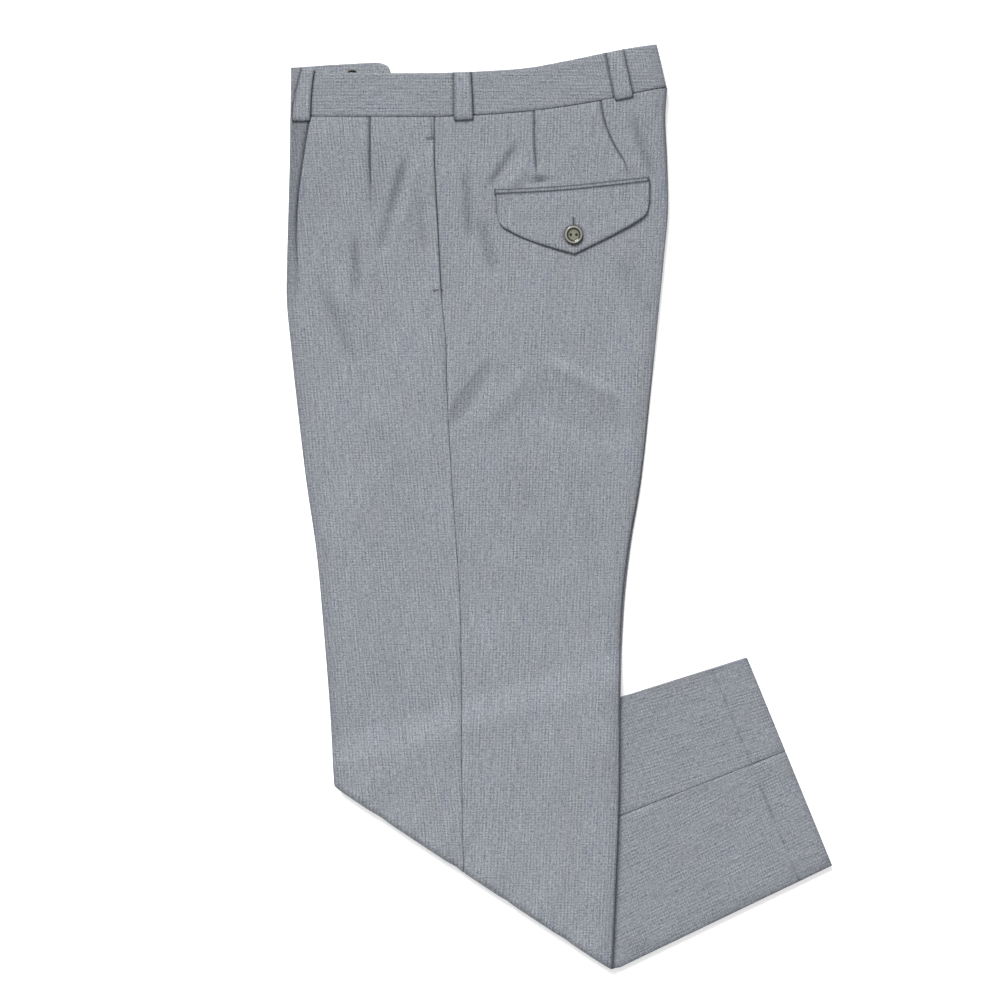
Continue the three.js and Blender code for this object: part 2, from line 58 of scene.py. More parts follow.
# %% The cut of the garment
MM = 0.001
CLOTH = 0.9
SEAM_GAP = 0.3
SEAM_ROUND = CLOTH / 2
LEG_STACK, WAIST_STACK, WAIST_TAPER = 6.4, 10.0, 250.0
LOOP_ROOM, LOOP_ROOM_TAPER = 2.8, 130.0
PANEL_CROWN, CROWN_FADE, WAIST_CROWN_SHARE = 2.6, 220.0, 0.35
BUTTON_X, BUTTON_DOWN, BUTTON_RADIUS = 274.1, 112.1, 8.5

LEG_SHAPE = [
    dict(down=-28, front=5.0, seam=142.0, back=362.5, under=1.0),
    dict(down=0, front=4.8, seam=142.0, back=360.5, under=1.2),
    dict(down=41, front=4.3, seam=142.0, back=362.4, under=1.2),
    dict(down=88, front=2.9, seam=144.4, back=364.0, under=0.4),
    dict(down=136, front=1.5, seam=146.8, back=360.0, under=0),
    dict(down=174, front=1.2, seam=149.0, back=356.3, under=0),
    dict(down=212, front=4.6, seam=152.6, back=352.5, under=0.3),
    dict(down=259, front=9.5, seam=153.9, back=347.2, under=1.0),
    dict(down=345, front=19.6, seam=158.5, back=337.3, under=1.8),
    dict(down=411, front=29.2, seam=163.2, back=325.9, under=2.6),
    dict(down=468, front=34.7, seam=166.6, back=319.7, under=2.8),
    dict(down=554, front=41.6, seam=167.7, back=317.3, under=1.5),
    dict(down=637, front=47.0, seam=168.2, back=317.3, under=0.3),
    dict(down=715, front=55.0, seam=170.0, back=314.5, under=0.8),
    dict(down=810, front=63.6, seam=175.8, back=310.2, under=1.2),
    dict(down=1050, front=87.2, seam=183.6, back=299.8, under=1.0),
]
BAND_SHAPE = [
    dict(x=5, seam_up=0, top_x=5.5, top_up=46.4),
    dict(x=15, seam_up=0, top_x=15, top_up=45.8),
    dict(x=30, seam_up=0, top_x=30, top_up=43),
    dict(x=57, seam_up=0, top_x=57, top_up=41.3),
    dict(x=100, seam_up=0, top_x=100, top_up=40.9),
    dict(x=150, seam_up=0.2, top_x=150, top_up=41.2),
    dict(x=190, seam_up=2, top_x=188, top_up=42.7),
    dict(x=236, seam_up=5.7, top_x=230, top_up=45.8),
    dict(x=274, seam_up=11, top_x=265, top_up=52),
    dict(x=313, seam_up=18, top_x=304, top_up=60.1),
    dict(x=338.5, seam_up=23.7, top_x=329.8, top_up=65.1),
    dict(x=362.5, seam_up=28.5, top_x=353.4, top_up=68.4),
]
TAB_SHAPE = [
    dict(x=5, top_up=46.6),
    dict(x=40, top_up=48.9),
    dict(x=80, top_up=51.2),
    dict(x=90, top_up=51.0),
    dict(x=96, top_up=49.0),
    dict(x=99.4, top_up=45.6),
    dict(x=100.7, top_up=40.5),
]


def ease(value):
    t = np.clip(value, 0, 1)
    return t * t * (3 - 2 * t)


def mix(a, b, t):
    return a + (b - a) * t


def read_table(table, key, value, column):
    """Reads a column at a value of the key column, on a smooth curve through the rows."""
    keys = np.array([row[key] for row in table], float)
    values = np.array([row[column] for row in table], float)
    value = np.clip(value, keys[0], keys[-1])
    i = np.clip(np.searchsorted(keys, value) - 1, 0, len(keys) - 2)
    before, after = np.maximum(i - 1, 0), np.minimum(i + 2, len(keys) - 1)
    span = keys[i + 1] - keys[i]
    t = (value - keys[i]) / span
    start_slope = (values[i + 1] - values[before]) / (keys[i + 1] - keys[before]) * span
    end_slope = (values[after] - values[i]) / (keys[after] - keys[i]) * span
    return (
        values[i] * (1 + 2 * t) * (1 - t) ** 2
        + start_slope * t * (1 - t) ** 2
        + values[i + 1] * t * t * (3 - 2 * t)
        - end_slope * t * t * (1 - t)
    )


def leg_at(down, column):
    return read_table(LEG_SHAPE, "down", down, column)


def band_at(x, column):
    return read_table(BAND_SHAPE, "x", x, column)


print("hem width", round(leg_at(1047, "back") - leg_at(1047, "front"), 1), "mm")

# %% [markdown]
# One function folds the garment: it takes a point of the unfolded cloth, and its height in
# the stack of layers, to its place. Layers turn round the slanting fold on arcs about one
# axis, so they never cross. Folding the coordinates, rather than simulating a fold, keeps
# every layer exactly where the frame has it.

# %% Fold the garment
def line_through(a, b):
    return lambda x: mix(a[1], b[1], (x - a[0]) / (b[0] - a[0]))


FOLD_FRONT, FOLD_BACK = (47.0, 637.5), (311.6, 812.3)
FOLD_LENGTH = math.hypot(FOLD_BACK[0] - FOLD_FRONT[0], FOLD_BACK[1] - FOLD_FRONT[1])
FOLD_NORMAL = (
    -(FOLD_BACK[1] - FOLD_FRONT[1]) / FOLD_LENGTH,
    (FOLD_BACK[0] - FOLD_FRONT[0]) / FOLD_LENGTH,
)
BEND_RADIUS = LEG_STACK + SEAM_GAP / 2
hem_line = line_through((86.8, 1047), (299.8, 1044))
CLIMB_START = line_through((43, 590), (321, 503))
CLIMB_END = line_through((46, 622), (316, 541))

button_low, button_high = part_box("back_pocket_button")
ORIGIN_X = (button_low.x + button_high.x) / 2 - BUTTON_X * MM
ORIGIN_Y = (button_low.y + button_high.y) / 2 + BUTTON_DOWN * MM


def below_waist(x, down):
    return np.maximum(0, down + band_at(x, "seam_up"))


def stack_at(x, down):
    share = (1 + np.cos(np.pi * np.clip(below_waist(x, down) / WAIST_TAPER, 0, 1))) / 2
    return mix(LEG_STACK, WAIST_STACK, share)


def loop_room_at(x, down):
    """The right leg stands up here from the floor, on its own belt loops."""
    fall = np.clip(below_waist(x, down) / LOOP_ROOM_TAPER, 0, 1)
    return LOOP_ROOM * (1 + np.cos(np.pi * fall)) / 2


def lift_at(x, down):
    climb = (down - CLIMB_START(x)) / (CLIMB_END(x) - CLIMB_START(x))
    return loop_room_at(x, down) + (LEG_STACK + SEAM_GAP) * ease(climb)


def crown_at(x, down):
    front = leg_at(down, "front")
    across = np.clip((x - front) / (leg_at(down, "back") - front), 0, 1)
    from_waist = mix(WAIST_CROWN_SHARE, 1, ease(below_waist(x, down) / CROWN_FADE))
    to_climb = ease((CLIMB_START(x) - down) / CROWN_FADE)
    return PANEL_CROWN * 4 * across * (1 - across) * from_waist * to_climb


def past_fold(x, down):
    """How far a point lies past the line where the bend begins."""
    along_x = (x - FOLD_FRONT[0]) * FOLD_NORMAL[0]
    return along_x + (down - FOLD_FRONT[1]) * FOLD_NORMAL[1] + BEND_RADIUS


def place(x, down, height):
    """The folded place, in metres in the frame, of points of the unfolded garment."""
    x, down, height = np.broadcast_arrays(x, down, height)
    past = past_fold(x, down)
    raised = lift_at(x, down) + height * (1 + crown_at(x, down) / stack_at(x, down))
    radius = height + SEAM_GAP / 2
    turn = np.pi * np.clip(past / (2 * BEND_RADIUS), 0, 1)
    out = np.where(past < 2 * BEND_RADIUS, radius * np.sin(turn), 2 * BEND_RADIUS - past)
    shift = np.where(past <= 0, 0, out - past)
    z = np.where(past <= 0, raised, BEND_RADIUS + radius * np.cos(turn))
    return np.stack([
        ORIGIN_X + (x + FOLD_NORMAL[0] * shift) * MM,
        ORIGIN_Y - (down + FOLD_NORMAL[1] * shift) * MM,
        z * MM,
    ], axis=-1)


def place_on_leg(leg, x, down, depth):
    """Depth is measured in from the leg's own outer side."""
    return place(x, down, stack_at(x, down) - depth if leg == "left" else depth)


print("garment origin in the frame", round(ORIGIN_X, 4), round(ORIGIN_Y, 4))

# %% [markdown]
# Cloth has two faces and a rounded edge. A grid of points is the outer face of a piece. The
# inner face is the same grid moved in by the cloth's thickness, and small arcs join the two
# all round, like a turned edge. A Solidify modifier would leave square edges, and seams would
# then show as slots, not as the soft grooves of a pressed seam.

# %% Closed cloth from a grid
RIM_STEPS = 3


def unit(v):
    return v / np.maximum(np.linalg.norm(v, axis=-1, keepdims=True), 1e-12)


def grid_normals(points):
    along = np.gradient(points, axis=0)
    across = np.gradient(points, axis=1)
    return unit(np.cross(across, along))


def grid_quads(index):
    corners = [index[:-1, :-1], index[:-1, 1:], index[1:, 1:], index[1:, :-1]]
    return np.stack(corners, -1).reshape(-1, 4)


def rim_loop(rows, columns):
    top = [(0, c) for c in range(columns)]
    right = [(r, columns - 1) for r in range(1, rows)]
    bottom = [(rows - 1, c) for c in range(columns - 2, -1, -1)]
    left = [(r, 0) for r in range(rows - 2, 0, -1)]
    return np.array(top + right + bottom + left)


def make_mesh(name, vertices, faces, vertex_uv, shade):
    mesh = bpy.data.meshes.new(name)
    mesh.vertices.add(len(vertices))
    mesh.vertices.foreach_set("co", np.asarray(vertices, np.float32).ravel())
    mesh.loops.add(faces.size)
    mesh.loops.foreach_set("vertex_index", faces.ravel().astype(np.int32))
    mesh.polygons.add(len(faces))
    mesh.polygons.foreach_set("loop_start", np.arange(0, faces.size, faces.shape[1], dtype=np.int32))
    mesh.update(calc_edges=True)
    uv = mesh.uv_layers.new(name="cloth")
    uv.data.foreach_set("uv", np.asarray(vertex_uv, np.float32)[faces.ravel()].ravel())
    # The shade attribute holds painted shade, which the weave reads.
    painted_shade = mesh.attributes.new("shade", "FLOAT", "POINT")
    painted_shade.data.foreach_set("value", np.asarray(shade, np.float32))
    mesh.polygons.foreach_set("use_smooth", np.ones(len(faces), bool))
    mesh.validate()
    piece = bpy.data.objects.new(name, mesh)
    bpy.context.scene.collection.objects.link(piece)
    return piece


def cloth_piece(name, outer, cut, outward, shade, thickness=CLOTH, grain=0.0, crossways=False):
    """A closed cloth wall from its outer face, whose middle faces roughly outward."""
    size = cut_size(cut)
    uv = np.stack([cut[..., 0] + grain * cut[..., 1], cut[..., 1]], -1)
    uv = uv[..., ::-1] if crossways else uv
    normals = grid_normals(outer)
    middle = (outer.shape[0] // 3, outer.shape[1] // 3)
    if np.dot(normals[middle], outward) < 0:
        outer, uv, shade = outer[:, ::-1], uv[:, ::-1], shade[:, ::-1]
        normals = grid_normals(outer)
    rows, columns = outer.shape[:2]
    inner = outer - normals * thickness * MM
    loop = rim_loop(rows, columns)
    r, c = loop[:, 0], loop[:, 1]
    inside_r = np.clip(r, 1, rows - 2)
    inside_c = np.clip(c, 1, columns - 2)
    out_dir = unit(unit(outer[r, c] - outer[inside_r, c]) + unit(outer[r, c] - outer[r, inside_c]))
    rim_centre = (outer[r, c] + inner[r, c]) / 2
    rim = []
    for step in range(1, RIM_STEPS + 1):
        angle = math.pi * step / (RIM_STEPS + 1)
        half = thickness * MM / 2
        rim.append(rim_centre + half * (normals[r, c] * math.cos(angle) + out_dir * math.sin(angle)))
    count = rows * columns
    a = np.arange(count).reshape(rows, columns)
    rim_index = 2 * count + np.arange(RIM_STEPS * len(loop)).reshape(RIM_STEPS, len(loop))
    rings = np.vstack([a[r, c], rim_index, count + a[r, c]])
    rings = np.hstack([rings, rings[:, :1]])
    faces = np.vstack([grid_quads(a), grid_quads(count + a)[:, ::-1], grid_quads(rings)[:, ::-1]])
    vertices = np.vstack([outer.reshape(-1, 3), inner.reshape(-1, 3), *rim])
    vertex_uv = np.vstack([uv.reshape(-1, 2)] * 2 + [uv[r, c]] * RIM_STEPS) * MM
    vertex_shade = np.concatenate([shade.ravel(), 0 * shade.ravel()] + [shade[r, c]] * RIM_STEPS)
    piece = make_mesh(name, vertices, faces, vertex_uv, vertex_shade)
    piece["cut"] = size
    return piece


def cut_size(uv):
    """Width, length and area in metres of the flat piece that a grid of cut points covers."""
    width, length = np.ptp(uv[..., 0]) * MM, np.ptp(uv[..., 1]) * MM
    diagonal_a = uv[1:, 1:] - uv[:-1, :-1]
    diagonal_b = uv[1:, :-1] - uv[:-1, 1:]
    cells = diagonal_a[..., 0] * diagonal_b[..., 1] - diagonal_a[..., 1] * diagonal_b[..., 0]
    return float(width), float(length), float(np.abs(cells).sum() / 2 * MM * MM)


# %% [markdown]
# Soft relief is given in the garment's own sizes. A crease is a ridge or trough along a short line, with one
# side steeper where the cloth leans. Gentle unevenness comes from smooth lattice noise with a fixed seed,
# because pressed cloth is never quite flat.

# %% Creases and unevenness
LEAN_SQUEEZE, END_FADE = 0.75, 0.3
LATTICE, LATTICE_SHIFT = 64, 8


def crease(x, down, start, end, height, width, lean=0.0):
    """A ridge, or a trough if height is negative, that dies out at both ends."""
    run, fall = end[0] - start[0], end[1] - start[1]
    length = math.hypot(run, fall)
    along = ((x - start[0]) * run + (down - start[1]) * fall) / length**2
    across = ((x - start[0]) * fall - (down - start[1]) * run) / length
    side = np.where(across * lean > 0, 1 - LEAN_SQUEEZE * abs(lean), 1)
    profile = height * np.exp(-((across / (width * side)) ** 2))
    return profile * ease(along / END_FADE) * ease((1 - along) / END_FADE)


def unevenness(x, down, wavelength, seed):
    """Smooth noise from -1 to 1 on a lattice of random values."""
    lattice = np.random.default_rng(seed).uniform(-1, 1, (LATTICE, LATTICE))
    u, v = x / wavelength + LATTICE_SHIFT, down / wavelength + LATTICE_SHIFT
    i, j = np.floor(u).astype(int), np.floor(v).astype(int)
    s, t = ease(u - i), ease(v - j)
    at = lambda a, b: lattice[a % LATTICE, b % LATTICE]
    return mix(mix(at(i, j), at(i + 1, j), s), mix(at(i, j + 1), at(i + 1, j + 1), s), t)


print("a crease 2 mm high, at its middle:", float(crease(0, 50, (0, 0), (0, 100), 2, 6)), "mm")

# %% [markdown]
# Pleats are folds of spare cloth sewn in at the waist. Each shows as a step: the cloth on the
# seat side stands up and its edge opens towards the fly. Darts are stitched folds on the back
# that end in a small pucker. Both follow a line given as a share of the panel's width, so the
# columns of the grid can follow them too and the step stays sharp.

# %% Pleats, darts and the pocket edge
PLEAT_ONE = [
    dict(down=0, share=0.146), dict(down=34, share=0.107), dict(down=68, share=0.078),
    dict(down=100, share=0.066), dict(down=135, share=0.075), dict(down=156, share=0.082),
    dict(down=176, share=0.068), dict(down=300, share=0.07),
]
PLEAT_TWO = [dict(down=0, share=0.5625), dict(down=90, share=0.566), dict(down=300, share=0.56)]
DART_ONE = [dict(down=-30, share=0.427), dict(down=52, share=0.441), dict(down=300, share=0.441)]
DART_TWO = [
    dict(down=-24, share=0.714), dict(down=-6, share=0.728), dict(down=13, share=0.756),
    dict(down=30, share=0.79), dict(down=48, share=0.828), dict(down=300, share=0.8),
]
POCKET_TOP, POCKET_BOTTOM, MOUTH_OPENS, MOUTH_CLOSES = 22.0, 164.0, 14.0, 8.0
MOUTH_LIFT, MOUTH_REACH = 0.75, 9.0
CAUGHT_SHARE, CAUGHT_DEPTH = 0.35, 25.0
PLEAT_STEPS = [
    dict(line=PLEAT_ONE, height=1.5, reach=30, fade_from=60, fade_over=118),
    dict(line=PLEAT_TWO, height=1.3, reach=22, fade_from=30, fade_over=62),
]
DART_STEPS = [
    dict(line=DART_ONE, height=0.9, reach=9, fade_from=34, fade_over=22),
    dict(line=DART_TWO, height=0.8, reach=10, fade_from=22, fade_over=26),
]
PUCKERS = [
    dict(line=DART_ONE, beside=0, spread=7, down_at=54, tall=5, height=1.8),
    dict(line=DART_ONE, beside=3, spread=9, down_at=61.5, tall=2.6, height=-1.7),
    dict(line=DART_TWO, beside=0, spread=6, down_at=47, tall=5, height=0.9),
]


def step_up(distance, height, edge=0.35, reach=26.0, groove=0.5):
    """A fold's edge at distance 0: a groove before it, a sharp rise, then a slow fall."""
    rise = ease((distance + edge) / (2 * edge))
    fall = np.exp(-np.maximum(distance, 0) / reach)
    return height * rise * fall - groove * np.exp(-(((distance + 0.7) / 0.8) ** 2))


def past_line(line, down, share, width):
    """How far a place lies past a pleat's or dart's line, in millimetres."""
    return (share - read_table(line, "down", down, "share")) * width


def folded_steps(steps, down, share, width, caught=1):
    """The raised steps of pleats or darts, each fading out down its panel."""
    relief = 0
    for row in steps:
        distance = past_line(row["line"], down, share, width)
        fade = 1 - ease((down - row["fade_from"]) / row["fade_over"])
        relief = relief + step_up(distance, row["height"], reach=row["reach"]) * fade * caught
    return relief


def front_relief(x, down, share, width):
    """Relief of a front panel, outwards, at a share of its width from the crease."""
    caught = mix(CAUGHT_SHARE, 1, ease(below_waist(x, down) / CAUGHT_DEPTH))
    relief = folded_steps(PLEAT_STEPS, down, share, width, caught)
    to_seam = (1 - share) * width
    mouth = ease((down - POCKET_TOP) / MOUTH_OPENS)
    mouth = mouth * ease((POCKET_BOTTOM + MOUTH_CLOSES - down) / MOUTH_CLOSES)
    return relief + MOUTH_LIFT * np.exp(-((to_seam / MOUTH_REACH) ** 2)) * mouth


def back_relief(x, down, share, width):
    """Relief of a back panel, outwards, at a share of its width from the side seam."""
    relief = folded_steps(DART_STEPS, down, share, width)
    for row in PUCKERS:
        beside = (past_line(row["line"], down, share, width) - row["beside"]) / row["spread"]
        below = (down - row["down_at"]) / row["tall"]
        relief = relief + row["height"] * np.exp(-(beside**2) - below**2)
    return relief


print("pleats:", len(PLEAT_STEPS), "darts:", len(DART_STEPS), "puckers:", len(PUCKERS))

# %% [markdown]
# These are the soft creases of the upper side. They sit where the cloth was held, folded or
# sat on: small drags beside the pleats, a long one across the seat, and ripples where the
# cloth turns under at the slanting fold. The hidden side gets similar ones.

# %% Soft creases
UPPER_CREASES = [
    dict(start=(117, 34), end=(96, 104), height=-2.1, width=6, lean=-0.5),
    dict(start=(126, 36), end=(112, 112), height=1.1, width=6, lean=0.4),
    dict(start=(98, 92), end=(90, 132), height=-1.2, width=6, lean=-0.4),
    dict(start=(66, 110), end=(69, 174), height=-2.1, width=5, lean=-0.5),
    dict(start=(56, 134), end=(58, 196), height=0.9, width=6, lean=0.4),
    dict(start=(128, 70), end=(133, 136), height=-1.0, width=5, lean=-0.5),
    dict(start=(170, 46), end=(176, 124), height=-2.0, width=5, lean=-0.7),
    dict(start=(184, 92), end=(201, 156), height=-1.7, width=6, lean=-0.5),
    dict(start=(190, 72), end=(224, 20), height=-2.0, width=5, lean=0.7),
    dict(start=(208, 76), end=(234, 40), height=1.2, width=6, lean=-0.4),
    dict(start=(148, 300), end=(200, 228), height=-2.2, width=8, lean=0.6),
    dict(start=(176, 306), end=(238, 236), height=1.2, width=12, lean=-0.3),
    dict(start=(240, 226), end=(326, 272), height=1.9, width=9, lean=0.6),
    dict(start=(228, 262), end=(330, 312), height=-1.7, width=15, lean=-0.3),
    dict(start=(33, 158), end=(70, 240), height=-1.8, width=7, lean=-0.5),
    dict(start=(50, 150), end=(84, 226), height=1, width=8, lean=0.3),
    dict(start=(326, -6), end=(352, 66), height=-1.7, width=6, lean=-0.6),
    dict(start=(314, 132), end=(356, 200), height=-1.4, width=11, lean=-0.3),
    dict(start=(88, 286), end=(126, 416), height=-1.4, width=14, lean=-0.4),
    dict(start=(58, 330), end=(96, 470), height=1.2, width=18, lean=0.3),
    dict(start=(210, 326), end=(266, 440), height=-1.5, width=18, lean=-0.3),
    dict(start=(276, 330), end=(300, 470), height=-1.2, width=14, lean=-0.4),
    dict(start=(196, 470), end=(236, 590), height=1.1, width=18, lean=0.4),
    dict(start=(90, 500), end=(120, 610), height=-1.2, width=16, lean=-0.3),
]


SHARP_WIDTH, TROUGH_SHADE = 6.0, 0.18


def trough_shade(x, down):
    """Painted shade in sharp troughs, from 0 to about 0.4."""
    sharp = lambda row: min(1, (SHARP_WIDTH / row["width"]) ** 1.5)
    held = lambda row: sharp(row) * np.minimum(crease(x, down, **row), 0)
    return -TROUGH_SHADE * sum(held(row) for row in UPPER_CREASES)


def upper_side_relief(x, down):
    relief = sum(crease(x, down, **row) for row in UPPER_CREASES)
    relief = relief + 0.9 * unevenness(x, down, wavelength=75, seed=3)
    relief = relief + 0.35 * unevenness(x, down * 0.5, wavelength=26, seed=4)
    return relief * ease(below_waist(x, down) / 34)


FOLD_RIPPLES = [
    dict(at=26, reach=30, height=0.8, width=7), dict(at=52, reach=44, height=-0.7, width=9),
    dict(at=83, reach=26, height=0.6, width=6), dict(at=112, reach=52, height=0.7, width=10),
    dict(at=138, reach=34, height=-0.8, width=8), dict(at=171, reach=40, height=0.8, width=8),
    dict(at=196, reach=28, height=-0.6, width=6), dict(at=228, reach=48, height=0.7, width=9),
    dict(at=262, reach=30, height=-0.6, width=7), dict(at=290, reach=24, height=0.5, width=6),
]


def fold_relief(x, down):
    """Short ripples that run up from the slanting fold."""
    along = (x - FOLD_FRONT[0]) * FOLD_NORMAL[1] - (down - FOLD_FRONT[1]) * FOLD_NORMAL[0]
    before = -past_fold(x, down)
    relief = 0.0
    for row in FOLD_RIPPLES:
        fade = np.where(before > 0, np.exp(-((before / row["reach"]) ** 2)), 1.0)
        relief = relief + row["height"] * np.exp(-(((along - row["at"]) / row["width"]) ** 2)) * fade
    past = -before
    under = ease(past / BEND_RADIUS)
    close = ease(1.3 - np.abs(past - BEND_RADIUS) / (BEND_RADIUS * 8))
    return mix(relief, np.minimum(relief, 0), under) * close


HEM_TURNING = 35.0


def lower_leg_relief(x, down):
    """The lower leg that comes out at the side: the pressed hem allowance shows through."""
    hem = hem_line(x) - down
    ridge = 0.35 * np.exp(-(((hem - HEM_TURNING) / 1.6) ** 2)) + 0.3 * ease((HEM_TURNING - hem) / 3)
    waves = 0.5 * unevenness(x, down, wavelength=60, seed=11)
    waves = waves + 0.25 * unevenness(x * 0.5, down, wavelength=22, seed=12)
    return ridge * (0.6 + 0.6 * unevenness(x, down, wavelength=30, seed=13)) + waves


print("creases:", len(UPPER_CREASES), "ripples at the fold:", len(FOLD_RIPPLES))

# %% [markdown]
# A leg panel is laid out in rows from the waist to the hem. The rows start along the waist
# seam and turn gradually until they run along the slanting fold, then turn back to the hem,
# so each row bends as one. Even, level rows would be simpler, but would cut across the fold.

# %% Rows of a leg panel
def offset_fold(distance):
    move = lambda p: (p[0] + FOLD_NORMAL[0] * distance, p[1] + FOLD_NORMAL[1] * distance)
    return line_through(move(FOLD_FRONT), move(FOLD_BACK))


def waist_line(x):
    return SEAM_ROUND - band_at(x, "seam_up")


def open_hem_line(x):
    return hem_line(x) - OPEN_HEM_LENGTH


OPEN_HEM_LENGTH, MEET_STEPS = 60, 9
FINE_START = [0, 0.0012, 0.003, 0.006]
STRETCHES = [
    dict(end=CLIMB_START, left=185, right=70),
    dict(end=CLIMB_END, left=16, right=10),
    dict(end=offset_fold(-BEND_RADIUS), left=60, right=24),
    dict(end=offset_fold(BEND_RADIUS), left=24, right=20),
    dict(end=open_hem_line, left=36, right=84),
    dict(end=lambda x: hem_line(x) - SEAM_ROUND, left=12, right=26),
]
OPEN_HEM = len(STRETCHES) - 1


def row_shares(stretch, leg, first):
    shares = np.arange(1, stretch[leg] + 1) / stretch[leg]
    return np.concatenate([FINE_START, shares[1:]]) if first else shares


def meet(down_at, column):
    """Where each row meets one of the long edges, which are steep against it."""
    x = float(leg_at(0, column))
    for _ in range(MEET_STEPS):
        x = leg_at(down_at(x), column)
    return x


print("rows, left:", sum(row["left"] for row in STRETCHES), "right:", sum(row["right"] for row in STRETCHES))

# %% [markdown]
# Across a row the columns gather where the cloth has an edge: at the side seam, and on both
# sides of each pleat or dart. Evenly spaced columns would need far more faces to keep those
# edges sharp, and an edge that crossed them would show as a row of small teeth.

# %% Columns of a leg panel
SEAM_OFFSETS = [0.0, 0.35, 0.9, 1.8, 3.5, 7.0]
GUIDE_OFFSETS = [3.0, 1.3, 0.6, 0.25, 0.0, -0.25, -0.6, -1.3, -3.0]
GUIDES = {
    "front": [(PLEAT_TWO, False, 17), (PLEAT_ONE, False, 17)],
    "back": [(DART_ONE, True, 26), (DART_TWO, True, 20)],
}
LAST_COLUMNS = {"front": 2, "back": 12}
GUIDE_STEPS, TURN_START = 5, 1.2


def fill(keys, counts):
    """Columns at the key distances, with even ones between them."""
    columns = [keys[0]]
    for start, end, count in zip(keys, keys[1:], counts):
        columns += [mix(start, end, (i + 1) / (count + 1)) for i in range(count + 1)]
    return np.hstack(columns)


def guide_distance(table, from_seam, edge, toward, width, down_at):
    """How far a pleat or dart lies from the crease in each row."""
    distance = 0 * edge
    for _ in range(GUIDE_STEPS):
        share = read_table(table, "down", down_at(edge - toward * distance), "share")
        distance = width * (1 - share if from_seam else share)
    return distance


def column_distances(half, width, edge, toward, down_at, rc):
    """Distances from the crease, from the side seam inwards, gathered at pleats or darts."""
    seam_end = width - SEAM_ROUND
    keys = [seam_end - offset for offset in SEAM_OFFSETS]
    counts = [0] * len(keys)
    for table, from_seam, count in GUIDES[half]:
        distance = guide_distance(table, from_seam, edge, toward, width, down_at)
        counts[-1] = count
        for offset in GUIDE_OFFSETS:
            keys.append(distance + offset)
            counts.append(0)
    counts[-1] = LAST_COLUMNS[half]
    keys += [rc + TURN_START + 0 * width, rc + 0 * width]
    counts += [0]
    return fill(keys, counts)


print("columns kept beside each pleat or dart:", len(GUIDE_OFFSETS))

# %% [markdown]
# The folded lower leg is partly under the upper legs, and the left leg rests on the right. So
# the relief of each panel is held within limits, and what rests on something is only pressed
# inwards. A collision simulation would also keep the layers apart, but not each row in place.

# %% Relief of a leg panel
EDGE_FALL, EDGE_FALL_REACH = 0.9, 4.5
FREE_HEIGHT, LEFT_UNDER_LIMIT, LOOP_ROOM_SHARE, RIGHT_DETAIL_SHARE = 9, 0.9, 0.8, 0.6
SEAM_GROOVE, WAIST_GROOVE, HEM_GROOVE = (0.35, 1.3), (0.3, 1.3), (0.35, 2.0)


def groove(distance, depth, reach):
    return depth * np.exp(-((distance / reach) ** 2))


def covered(x, down):
    """1 where the folded lower leg lies under the upper legs, 0 where it shows."""
    shift = 2 * BEND_RADIUS - 2 * past_fold(x, down)
    folded_x, folded_down = x + FOLD_NORMAL[0] * shift, down + FOLD_NORMAL[1] * shift
    return 1 - ease((folded_x - leg_at(folded_down, "back") - 1.5) / 8)


def edge_fall(distance):
    """How far the cloth slopes down towards the pressed crease."""
    return EDGE_FALL * np.exp(-distance / EDGE_FALL_REACH)


def panel_relief(leg, half, x, down, share, width):
    """All the relief of a panel. What rests on something may only be pressed inwards."""
    shape = front_relief if half == "front" else back_relief
    past = past_fold(x, down)
    above = ease(-past / 40)
    beyond = ease((past - 2 * BEND_RADIUS) / 40)
    from_edge = (share if half == "front" else 1 - share) * width
    from_seam = width - from_edge
    free = ease(from_edge / 9) * ease(from_seam / 6)
    details = shape(x, down, share, width) * above
    hem = hem_line(x) - down
    if leg == "left":
        relief = details + (upper_side_relief(x, down) * above + fold_relief(x, down)) * free
        limit = np.where(past > 0, LEFT_UNDER_LIMIT * (1 - ease(past / BEND_RADIUS)), FREE_HEIGHT)
    else:
        similar = upper_side_relief(x * 0.9 + 40, down + 25)
        relief = details * RIGHT_DETAIL_SHARE + similar * above * free
        relief = relief + lower_leg_relief(x, down) * beyond * free
        showing = np.where(past > 0, (1 - covered(x, down)) * FREE_HEIGHT, 0)
        limit = np.where(past > 0, showing, LOOP_ROOM_SHARE * loop_room_at(x, down))
    relief = relief - groove(from_seam, *SEAM_GROOVE)
    relief = relief - groove(below_waist(x, down), *WAIST_GROOVE)
    relief = relief - groove(hem, *HEM_GROOVE)
    hollow = 2 * CLOTH + SEAM_GAP + 0.1 - stack_at(x, down) / 2
    return np.clip(relief, hollow, limit) - edge_fall(from_edge)


print("edge falls", EDGE_FALL, "mm; grooves, depth and reach:", SEAM_GROOVE, WAIST_GROOVE, HEM_GROOVE)

# %% [markdown]
# Shade is painted into the cloth: fine dark lines along seams, in front of pleats, beside darts and where
# the cloth turns under, dark sharp troughs, a darker strip before the first pleat, a soft band across the
# climb that damps its highlight, and a darker lower leg. A shade value from 0 to 1 at each point of the grid
# holds this painted shade, and the weave reads it. Painted textures could hold it too, but would not follow
# a change of cut.

